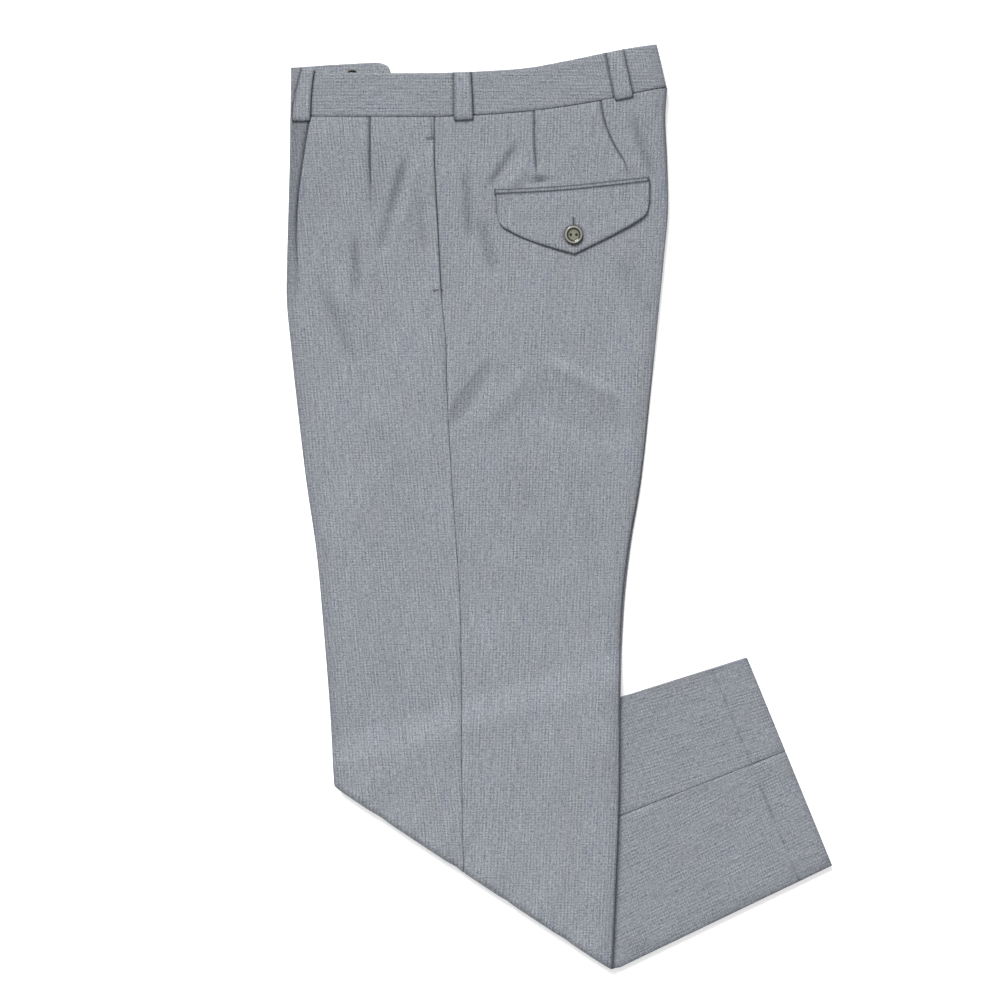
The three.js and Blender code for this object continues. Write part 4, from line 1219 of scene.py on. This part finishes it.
# %% A tree that sews along a path
def new_stitch_tree():
    tree = bpy.data.node_groups.new("Sewn Stitches", "GeometryNodeTree")
    sockets = {}
    tree.interface.new_socket("Geometry", in_out="INPUT", socket_type="NodeSocketGeometry")
    for name, value in (("Spacing", 0.001), ("Length", 0.002), ("Thread", 0.0002), ("Turn", 0.0)):
        sockets[name] = tree.interface.new_socket(name, in_out="INPUT", socket_type="NodeSocketFloat")
        sockets[name].default_value = value
    sockets["Seed"] = tree.interface.new_socket("Seed", in_out="INPUT", socket_type="NodeSocketInt")
    sockets["Finish"] = tree.interface.new_socket("Finish", in_out="INPUT", socket_type="NodeSocketMaterial")
    tree.interface.new_socket("Geometry", in_out="OUTPUT", socket_type="NodeSocketGeometry")
    add, link = tree.nodes.new, tree.links.new
    start, end = add("NodeGroupInput"), add("NodeGroupOutput")
    steps = add("GeometryNodeCurveToPoints")
    steps.mode = "LENGTH"
    link(start.outputs["Geometry"], steps.inputs["Curve"])
    link(start.outputs["Spacing"], steps.inputs["Length"])
    align = add("FunctionNodeAlignRotationToVector")
    align.axis, align.pivot_axis = "X", "Z"
    link(steps.outputs["Tangent"], align.inputs["Vector"])
    thread = add("GeometryNodeMeshUVSphere")
    thread.inputs["Segments"].default_value = 6
    thread.inputs["Rings"].default_value = 5
    thread.inputs["Radius"].default_value = 1.0
    half = add("ShaderNodeMath")
    half.operation = "MULTIPLY"
    half.inputs[1].default_value = 0.5
    link(start.outputs["Length"], half.inputs[0])
    uneven = add("FunctionNodeRandomValue")
    uneven.data_type = "FLOAT"
    uneven.inputs[2].default_value = 0.85
    uneven.inputs[3].default_value = 1.12
    link(start.outputs["Seed"], uneven.inputs["Seed"])
    reach = add("ShaderNodeMath")
    reach.operation = "MULTIPLY"
    link(half.outputs[0], reach.inputs[0])
    link(uneven.outputs[1], reach.inputs[1])
    size = add("ShaderNodeCombineXYZ")
    link(reach.outputs[0], size.inputs["X"])
    link(start.outputs["Thread"], size.inputs["Y"])
    link(start.outputs["Thread"], size.inputs["Z"])
    sew = add("GeometryNodeInstanceOnPoints")
    link(steps.outputs["Points"], sew.inputs["Points"])
    link(thread.outputs["Mesh"], sew.inputs["Instance"])
    link(align.outputs["Rotation"], sew.inputs["Rotation"])
    link(size.outputs["Vector"], sew.inputs["Scale"])
    angle = add("ShaderNodeCombineXYZ")
    link(start.outputs["Turn"], angle.inputs["Z"])
    turn = add("GeometryNodeRotateInstances")
    link(sew.outputs["Instances"], turn.inputs["Instances"])
    link(angle.outputs["Vector"], turn.inputs["Rotation"])
    real = add("GeometryNodeRealizeInstances")
    link(turn.outputs["Instances"], real.inputs["Geometry"])
    finish = add("GeometryNodeSetMaterial")
    link(real.outputs["Geometry"], finish.inputs["Geometry"])
    link(start.outputs["Finish"], finish.inputs["Material"])
    link(finish.outputs["Geometry"], end.inputs["Geometry"])
    return tree, {name: socket.identifier for name, socket in sockets.items()}


stitch_tree, stitch_input = new_stitch_tree()
print("stitch inputs:", sorted(stitch_input))

# %% [markdown]
# Cloth needs one shared effect, the weave. This suiting has a tiny check: light dots 3.1 mm
# apart across the cloth and 2.6 mm apart along it, over a melange of lighter and darker yarns
# with slubs. A shader group makes its colour and height from the cloth's own flat coordinates,
# so the yarns turn with each piece. Noise alone would lose the regular dots.

# %% Helpers for shader nodes
def math_node(tree, operation, a, b=None, clamp=False):
    node = tree.nodes.new("ShaderNodeMath")
    node.operation = operation
    node.use_clamp = clamp
    for socket, value in zip(node.inputs, (a, b)):
        if isinstance(value, (int, float)):
            socket.default_value = value
        elif value is not None:
            tree.links.new(value, socket)
    return node.outputs[0]


def stretched_noise(tree, vector, scale, detail):
    """Noise on the flat cloth in millimetres, drawn out by the given scale each way."""
    stretch = tree.nodes.new("ShaderNodeVectorMath")
    stretch.operation = "MULTIPLY"
    stretch.inputs[1].default_value = scale
    tree.links.new(vector, stretch.inputs[0])
    noise = tree.nodes.new("ShaderNodeTexNoise")
    noise.inputs["Scale"].default_value = 1.0
    noise.inputs["Detail"].default_value = detail
    tree.links.new(stretch.outputs[0], noise.inputs["Vector"])
    return noise.outputs["Fac"]


def mixed(tree, factor, a, b, blend_type="MIX"):
    """Mixes two colours, each a value or a socket."""
    node = tree.nodes.new("ShaderNodeMix")
    node.data_type = "RGBA"
    node.blend_type = blend_type
    tree.links.new(factor, node.inputs["Factor"])
    for name, colour in (("A", a), ("B", b)):
        if isinstance(colour, tuple):
            node.inputs[name].default_value = colour
        else:
            tree.links.new(colour, node.inputs[name])
    return node.outputs["Result"]


print("helpers: maths, stretched noise and mixing")

# %% [markdown]
# It wanders a little, and is clearer in some patches than in others. Yarns are noise drawn
# out along or across the cloth. A noise texture alone, at one scale, would look like felt.

# %% Check, yarns and tint of the weave
CHECK_PITCHES = (("X", 1.0), ("Y", 0.84))
CROSSING_SHARE, CHECK_MIDDLE = 0.8, 0.3
YARN_NOISES = [
    dict(name="streaks", stretch=(1.0, 0.035, 1), detail=2, strength=0.6),
    dict(name="long slubs", stretch=(1.0, 0.25, 1), detail=2, strength=0.8),
    dict(name="cross slubs", stretch=(0.2, 0.95, 1), detail=2, strength=0.75),
    dict(name="melange", stretch=(1.1, 1.15, 1), detail=1, strength=1.35),
    dict(name="clouds", stretch=(0.035, 0.02, 1), detail=2, strength=0.2),
]
DARKENED = (0.24, 0.24, 0.27, 1)
ROUGHEST, ROUGH_RANGE = 0.92, 0.12


def check_of(tree, start, flat):
    """Light dots where two waves cross, with their strength."""
    split = tree.nodes.new("ShaderNodeSeparateXYZ")
    tree.links.new(flat, split.inputs[0])
    wander = stretched_noise(tree, flat, (0.12, 0.12, 1), 1)
    wander = math_node(tree, "MULTIPLY", math_node(tree, "SUBTRACT", wander, 0.5), 1.6)
    waves = []
    for axis, pitch in CHECK_PITCHES:
        moved = math_node(tree, "ADD", split.outputs[axis], wander)
        turns = math_node(tree, "DIVIDE", moved, start.outputs["Check Size"])
        wave = math_node(tree, "COSINE", math_node(tree, "MULTIPLY", turns, 2 * math.pi / pitch))
        waves.append(math_node(tree, "MULTIPLY", math_node(tree, "ADD", wave, 1.0), 0.5))
    crossing = math_node(tree, "MULTIPLY", waves[1], CROSSING_SHARE)
    crossing = math_node(tree, "ADD", crossing, 0.2)
    dots = math_node(tree, "MULTIPLY", waves[0], crossing)
    patches = stretched_noise(tree, flat, (0.14, 0.03, 1), 2)
    clear = math_node(tree, "MULTIPLY", math_node(tree, "SUBTRACT", patches, 0.25), 2.0, clamp=True)
    check = math_node(tree, "MULTIPLY", math_node(tree, "SUBTRACT", dots, CHECK_MIDDLE), clear)
    return math_node(tree, "MULTIPLY", check, start.outputs["Check Strength"])


def yarns_of(tree, start, noises):
    """Lighter and darker yarns, as the sum of the noises round zero."""
    slub = 0.0
    for row in YARN_NOISES:
        centred = math_node(tree, "SUBTRACT", noises[row["name"]], 0.5)
        slub = math_node(tree, "ADD", math_node(tree, "MULTIPLY", centred, row["strength"]), slub)
    return math_node(tree, "MULTIPLY", slub, start.outputs["Slub Strength"])


def tinted(tree, flat, colour, clouds):
    """The colour with small shifts of hue, and broad patches of stronger or weaker colour."""
    tint = tree.nodes.new("ShaderNodeHueSaturation")
    hue = math_node(tree, "MULTIPLY", stretched_noise(tree, flat, (0.5, 0.3, 1), 2), 0.16)
    tree.links.new(math_node(tree, "ADD", hue, 0.42), tint.inputs["Hue"])
    depth = math_node(tree, "ADD", math_node(tree, "MULTIPLY", clouds, 1.3), 0.35)
    tree.links.new(depth, tint.inputs["Saturation"])
    tree.links.new(colour, tint.inputs["Color"])
    return tint.outputs["Color"]


print("yarn noises:", [row["name"] for row in YARN_NOISES])

# %% [markdown]
# The group joins them. It takes the flat cloth's coordinates, two yarn colours, the strengths and the
# painted shade, and gives colour, height and roughness, which change over the surface.

# %% The weave group
def new_weave_group():
    tree = bpy.data.node_groups.new("Suiting Weave", "ShaderNodeTree")
    socket = tree.interface.new_socket
    socket("Flat Cloth", in_out="INPUT", socket_type="NodeSocketVector")
    for name, value in (("Check Size", 3.1), ("Check Strength", 0.3), ("Slub Strength", 1.0)):
        socket(name, in_out="INPUT", socket_type="NodeSocketFloat").default_value = value
    socket("Light Yarn", in_out="INPUT", socket_type="NodeSocketColor")
    socket("Dark Yarn", in_out="INPUT", socket_type="NodeSocketColor")
    socket("Shade", in_out="INPUT", socket_type="NodeSocketFloat")
    socket("Colour", in_out="OUTPUT", socket_type="NodeSocketColor")
    socket("Height", in_out="OUTPUT", socket_type="NodeSocketFloat")
    socket("Roughness", in_out="OUTPUT", socket_type="NodeSocketFloat")
    start, end = tree.nodes.new("NodeGroupInput"), tree.nodes.new("NodeGroupOutput")
    scaled = tree.nodes.new("ShaderNodeVectorMath")
    scaled.operation = "SCALE"
    scaled.inputs["Scale"].default_value = 1000.0
    tree.links.new(start.outputs["Flat Cloth"], scaled.inputs[0])
    flat = scaled.outputs[0]
    noises = {
        row["name"]: stretched_noise(tree, flat, row["stretch"], row["detail"]) for row in YARN_NOISES
    }
    light = math_node(tree, "ADD", yarns_of(tree, start, noises), check_of(tree, start, flat))
    tone = math_node(tree, "ADD", light, 0.5, clamp=True)
    colour = mixed(tree, tone, start.outputs["Dark Yarn"], start.outputs["Light Yarn"])
    colour = tinted(tree, flat, colour, noises["clouds"])
    # Painted shade darkens the colour towards DARKENED.
    colour = mixed(tree, start.outputs["Shade"], colour, DARKENED, "MULTIPLY")
    rough = math_node(tree, "SUBTRACT", ROUGHEST, math_node(tree, "MULTIPLY", tone, ROUGH_RANGE))
    tree.links.new(colour, end.inputs["Colour"])
    tree.links.new(tone, end.inputs["Height"])
    tree.links.new(rough, end.inputs["Roughness"])
    return tree


weave_group = new_weave_group()
print("weave nodes:", len(weave_group.nodes))

# %% [markdown]
# Wool is rough and has a faint bloom of fibres, so the cloth shader is matt with a little sheen. Thread,
# horn and brass each get their own shader. The horn is streaked and polished, with a painted highlight on
# the rim's top and painted shade as a dark ring in the hollow inside its rim. The brass has gone dark and
# patchy, and thread is twisted.

# %% Finishes
def new_material(name, roughness, **fixed):
    material = bpy.data.materials.new(name)
    material.use_nodes = True
    shader = material.node_tree.nodes["Principled BSDF"]
    shader.inputs["Roughness"].default_value = roughness
    for socket, value in fixed.items():
        shader.inputs[socket.replace("_", " ")].default_value = value
    return material, material.node_tree, shader


def bump_from(tree, shader, height, distance):
    bump = tree.nodes.new("ShaderNodeBump")
    bump.inputs["Distance"].default_value = distance
    bump.inputs["Strength"].default_value = 1.0
    tree.links.new(height, bump.inputs["Height"])
    tree.links.new(bump.outputs["Normal"], shader.inputs["Normal"])


def suiting(name, light, dark, check, slub):
    material, tree, shader = new_material(
        name, 0.86, Sheen_Weight=0.12, Sheen_Roughness=0.5, Specular_IOR_Level=0.2,
    )
    uv = tree.nodes.new("ShaderNodeUVMap")
    uv.uv_map = "cloth"
    # The shade attribute carries painted shade into the weave.
    painted_shade = tree.nodes.new("ShaderNodeAttribute")
    painted_shade.attribute_name = "shade"
    weave = tree.nodes.new("ShaderNodeGroup")
    weave.node_tree = weave_group
    weave.inputs["Light Yarn"].default_value = (*light, 1)
    weave.inputs["Dark Yarn"].default_value = (*dark, 1)
    weave.inputs["Check Strength"].default_value = check
    weave.inputs["Slub Strength"].default_value = slub
    tree.links.new(uv.outputs["UV"], weave.inputs["Flat Cloth"])
    tree.links.new(painted_shade.outputs["Fac"], weave.inputs["Shade"])
    tree.links.new(weave.outputs["Colour"], shader.inputs["Base Color"])
    tree.links.new(weave.outputs["Roughness"], shader.inputs["Roughness"])
    bump_from(tree, shader, weave.outputs["Height"], 0.00025)
    return material


LIGHT_YARN, DARK_YARN = (0.356, 0.368, 0.374), (0.066, 0.08, 0.121)
wool = suiting("Grey Wool Suiting", LIGHT_YARN, DARK_YARN, 0.55, 0.98)


def object_noise(tree, scale, detail=2.0, distortion=0.0):
    """Noise on a piece's own coordinates in metres, so it stays with the piece."""
    place_on = tree.nodes.new("ShaderNodeTexCoord")
    noise = tree.nodes.new("ShaderNodeTexNoise")
    noise.inputs["Scale"].default_value = scale
    noise.inputs["Detail"].default_value = detail
    noise.inputs["Distortion"].default_value = distortion
    tree.links.new(place_on.outputs["Object"], noise.inputs["Vector"])
    return noise.outputs["Fac"]


# Horn tones by radius, with a painted highlight on the rim's top and painted shade in the hollow inside the
# rim.
HORN_TONES_AND_PAINTED_LIGHT = [
    (0.0, (0.25, 0.25, 0.20)), (0.56, (0.19, 0.19, 0.15)), (0.63, (0.012, 0.012, 0.010)),
    (0.75, (0.016, 0.016, 0.013)), (0.82, (0.34, 0.34, 0.28)), (0.95, (0.22, 0.22, 0.18)),
]


def horn():
    material, tree, shader = new_material("Polished Horn", 0.25, Coat_Weight=0.4)
    noise = object_noise(tree, 260.0, 4.0, 1.5)
    turned = tree.nodes.new("ShaderNodeAttribute")
    turned.attribute_name = "radius"
    rings = tree.nodes.new("ShaderNodeValToRGB")
    while len(rings.color_ramp.elements) < len(HORN_TONES_AND_PAINTED_LIGHT):
        rings.color_ramp.elements.new(0.5)
    for element, (position, colour) in zip(rings.color_ramp.elements, HORN_TONES_AND_PAINTED_LIGHT):
        element.position = position
        element.color = (*colour, 1)
    tree.links.new(turned.outputs["Fac"], rings.inputs["Fac"])
    streaks = mixed(tree, noise, rings.outputs["Color"], (0.6, 0.6, 0.56, 1), "MULTIPLY")
    tree.links.new(streaks, shader.inputs["Base Color"])
    bump_from(tree, shader, noise, 0.00006)
    return material


def brass():
    material, tree, shader = new_material("Worn Brass", 0.3, Metallic=1.0)
    noise = object_noise(tree, 400.0, 3.0)
    ramp = tree.nodes.new("ShaderNodeValToRGB")
    ramp.color_ramp.elements[0].color = (0.012, 0.010, 0.008, 1)
    ramp.color_ramp.elements[1].color = (0.10, 0.085, 0.06, 1)
    tree.links.new(noise, ramp.inputs["Fac"])
    tree.links.new(ramp.outputs["Color"], shader.inputs["Base Color"])
    rough = math_node(tree, "ADD", math_node(tree, "MULTIPLY", noise, 0.3), 0.2)
    tree.links.new(rough, shader.inputs["Roughness"])
    return material


def thread(name, colour):
    material, tree, shader = new_material(name, 0.55, Sheen_Weight=0.2)
    twist = object_noise(tree, 3000.0)
    darker, lighter = (*[c * 0.8 for c in colour], 1), (*[c * 1.15 for c in colour], 1)
    tree.links.new(mixed(tree, twist, darker, lighter), shader.inputs["Base Color"])
    bump_from(tree, shader, twist, 0.00005)
    return material


horn_finish, brass_finish = horn(), brass()
dark_thread = thread("Charcoal Thread", (0.06, 0.064, 0.075))
# Black thread, also used as painted shade in the button's holes and along the buttonhole's slit.
black_thread_and_shade = thread("Black Thread and Shade", (0.008, 0.008, 0.009))
pale_thread = thread("Grey Thread", (0.20, 0.21, 0.23))
THREADS = {"pale": pale_thread, "dark": dark_thread, "black": black_thread_and_shade}
for row in sheets:
    row["piece"].data.materials.append(wool)
button.data.materials.clear()
button.data.materials.append(horn_finish)
button_thread_and_hole_shade.data.materials.append(black_thread_and_shade)
hook.data.materials.clear()
hook.data.materials.append(brass_finish)
print("materials:", sorted(m.name for m in bpy.data.materials if m.users))

# %% [markdown]
# The sewn details are short paths on the finished cloth. Each path is given in the garment's
# own sizes with its place above the panel, and goes through the stitch tree.

# %% Sew the buttonhole, tacks and rows
THREAD_THICK, PATH_STEPS, STITCH_SEED = 0.22, 12, 5
SEWING = [
    dict(
        name="buttonhole_left", path=[(272.9, 95.4), (273.4, 104.2)], out=1.6,
        spacing=0.45, length=1.5, turn=90, finish="pale",
    ),
    dict(
        name="buttonhole_right", path=[(274.4, 95.4), (274.9, 104.2)], out=1.6,
        spacing=0.45, length=1.5, turn=90, finish="pale",
    ),
    # Black stitches along the slit are painted shade in the cut.
    dict(
        name="buttonhole_slit_shade", path=[(273.6, 95.4), (274.1, 104.2)], out=1.75,
        spacing=0.6, length=1.6, turn=0, finish="black", thick=0.5,
    ),
    dict(
        name="pocket_top_tack", path=[(134, 20.4), (141.2, 20.0)], out=0.75,
        spacing=0.5, length=1.5, turn=90, finish="dark",
    ),
    dict(
        name="pocket_mouth_row", path=[(139.2, 3), (139.2, 19)], out=0.55,
        spacing=2.4, length=1.9, turn=0, finish="dark",
    ),
    dict(
        name="pocket_end_tack", path=[(140.5, 164.4), (149.5, 164.0)], out=0.35,
        spacing=0.5, length=1.5, turn=90, finish="dark",
    ),
    dict(
        name="jetting_front_tack", path=[(199.6, 67.6), (199.9, 75.6)], out=1.2,
        spacing=0.5, length=1.2, turn=90, finish="dark",
    ),
    dict(
        name="jetting_back_tack", path=[(345.0, 55.6), (346.2, 63.4)], out=1.2,
        spacing=0.5, length=1.2, turn=90, finish="dark",
    ),
]


def sewn(name, path, out, spacing, length, turn, finish, thick=THREAD_THICK):
    """Stitches along a short path on the left leg, in millimetres, as a plain mesh."""
    curve = bpy.data.curves.new(name, "CURVE")
    curve.dimensions = "3D"
    spline = curve.splines.new("POLY")
    spline.points.add(PATH_STEPS)
    for i in range(PATH_STEPS + 1):
        x, down = (mix(path[0][k], path[1][k], i / PATH_STEPS) for k in (0, 1))
        spline.points[i].co = (*place_on_leg("left", x, down, -out), 1)
    piece = bpy.data.objects.new(name, curve)
    bpy.context.scene.collection.objects.link(piece)
    sew = piece.modifiers.new("sew", "NODES")
    sew.node_group = stitch_tree
    values = {
        "Spacing": spacing * MM, "Length": length * MM, "Thread": thick * MM,
        "Turn": math.radians(turn), "Seed": STITCH_SEED, "Finish": THREADS[finish],
    }
    for socket, value in values.items():
        sew[stitch_input[socket]] = value
    depsgraph = bpy.context.evaluated_depsgraph_get()
    mesh = bpy.data.meshes.new_from_object(piece.evaluated_get(depsgraph))
    bpy.data.objects.remove(piece)
    piece = bpy.data.objects.new(name, mesh)
    bpy.context.scene.collection.objects.link(piece)
    return piece


sewing = [sewn(**row) for row in SEWING]
for piece in sewing:
    print(piece.name, "faces", len(piece.data.polygons))

# %% [markdown]
# Every piece now takes its place on the frame: it rides on the one body, and the CAD node it stands for is
# hidden. Each cloth keeps the flat size it was cut to as a property.

# %% Join the pieces to the frame
for row in sheets:
    piece = row["piece"]
    width, length, area = piece["cut"]
    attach(piece, "root")
    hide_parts(*row["nodes"])
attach(button, "root")
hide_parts("back_pocket_button")
sewing.append(button_thread_and_hole_shade)
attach(hook, "root")
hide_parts("trouser_hook")
for piece in sewing:
    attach(piece, "root")
print("sheets:", len(sheets), "other pieces:", len(sewing) + 2)

# %% [markdown]
# The garment lies flat and is looked at from straight above. A long lens keeps its outline
# true. A broad soft sun comes in from beyond the waist and a little from the left, low enough
# to show each crease, and a bright even sky fills in, as in a white studio.

# %% Floor, light and camera
STAGE, FLOOR_TOP, FLOOR_GLOW = 12.0, -0.0003, 0.38
floor_mesh = bpy.data.meshes.new("floor")
corners = [(x * STAGE / 2, y * STAGE / 2, FLOOR_TOP) for x, y in ((-1, -1), (1, -1), (1, 1), (-1, 1))]
floor_mesh.from_pydata(corners, [], [(0, 1, 2, 3)])
floor = bpy.data.objects.new("floor", floor_mesh)
bpy.context.scene.collection.objects.link(floor)
pale, pale_tree, pale_shader = new_material("Pale Floor", 0.9)
pale_shader.inputs["Base Color"].default_value = (0.93, 0.93, 0.93, 1)
pale_shader.inputs["Emission Color"].default_value = (1, 1, 1, 1)
pale_shader.inputs["Emission Strength"].default_value = FLOOR_GLOW
floor_mesh.materials.append(pale)

SKY, SUN, SUN_SPREAD, SUN_FROM = 0.5, 4.9, 28.0, (-0.42, 1.0, 0.82)
world = bpy.data.worlds.new("White Studio")
bpy.context.scene.world = world
world.use_nodes = True
world.node_tree.nodes["Background"].inputs["Color"].default_value = (1, 1, 1, 1)
world.node_tree.nodes["Background"].inputs["Strength"].default_value = SKY


sun = bpy.data.lights.new("sun", "SUN")
sun.energy = SUN
sun.angle = math.radians(SUN_SPREAD)
sun_holder = bpy.data.objects.new("sun", sun)
sun_holder.rotation_euler = (-Vector(SUN_FROM)).to_track_quat("-Z", "Y").to_euler()
bpy.context.scene.collection.objects.link(sun_holder)
LENS, SENSOR, VIEW_WIDTH, TOP_OF_CLOTH = 100.0, 36.0, 0.95, 0.010
VIEW_MIDDLE = (204.25, 363.85)
camera_data = bpy.data.cameras.new("camera")
camera_data.lens, camera_data.sensor_width = LENS, SENSOR
camera = bpy.data.objects.new("camera", camera_data)
camera.location = (
    ORIGIN_X + VIEW_MIDDLE[0] * MM,
    ORIGIN_Y - VIEW_MIDDLE[1] * MM,
    VIEW_WIDTH * LENS / SENSOR + TOP_OF_CLOTH,
)
bpy.context.scene.collection.objects.link(camera)
bpy.context.scene.camera = camera
bpy.context.scene.view_settings.view_transform = "Standard"
print("camera", [round(v, 4) for v in camera.location])
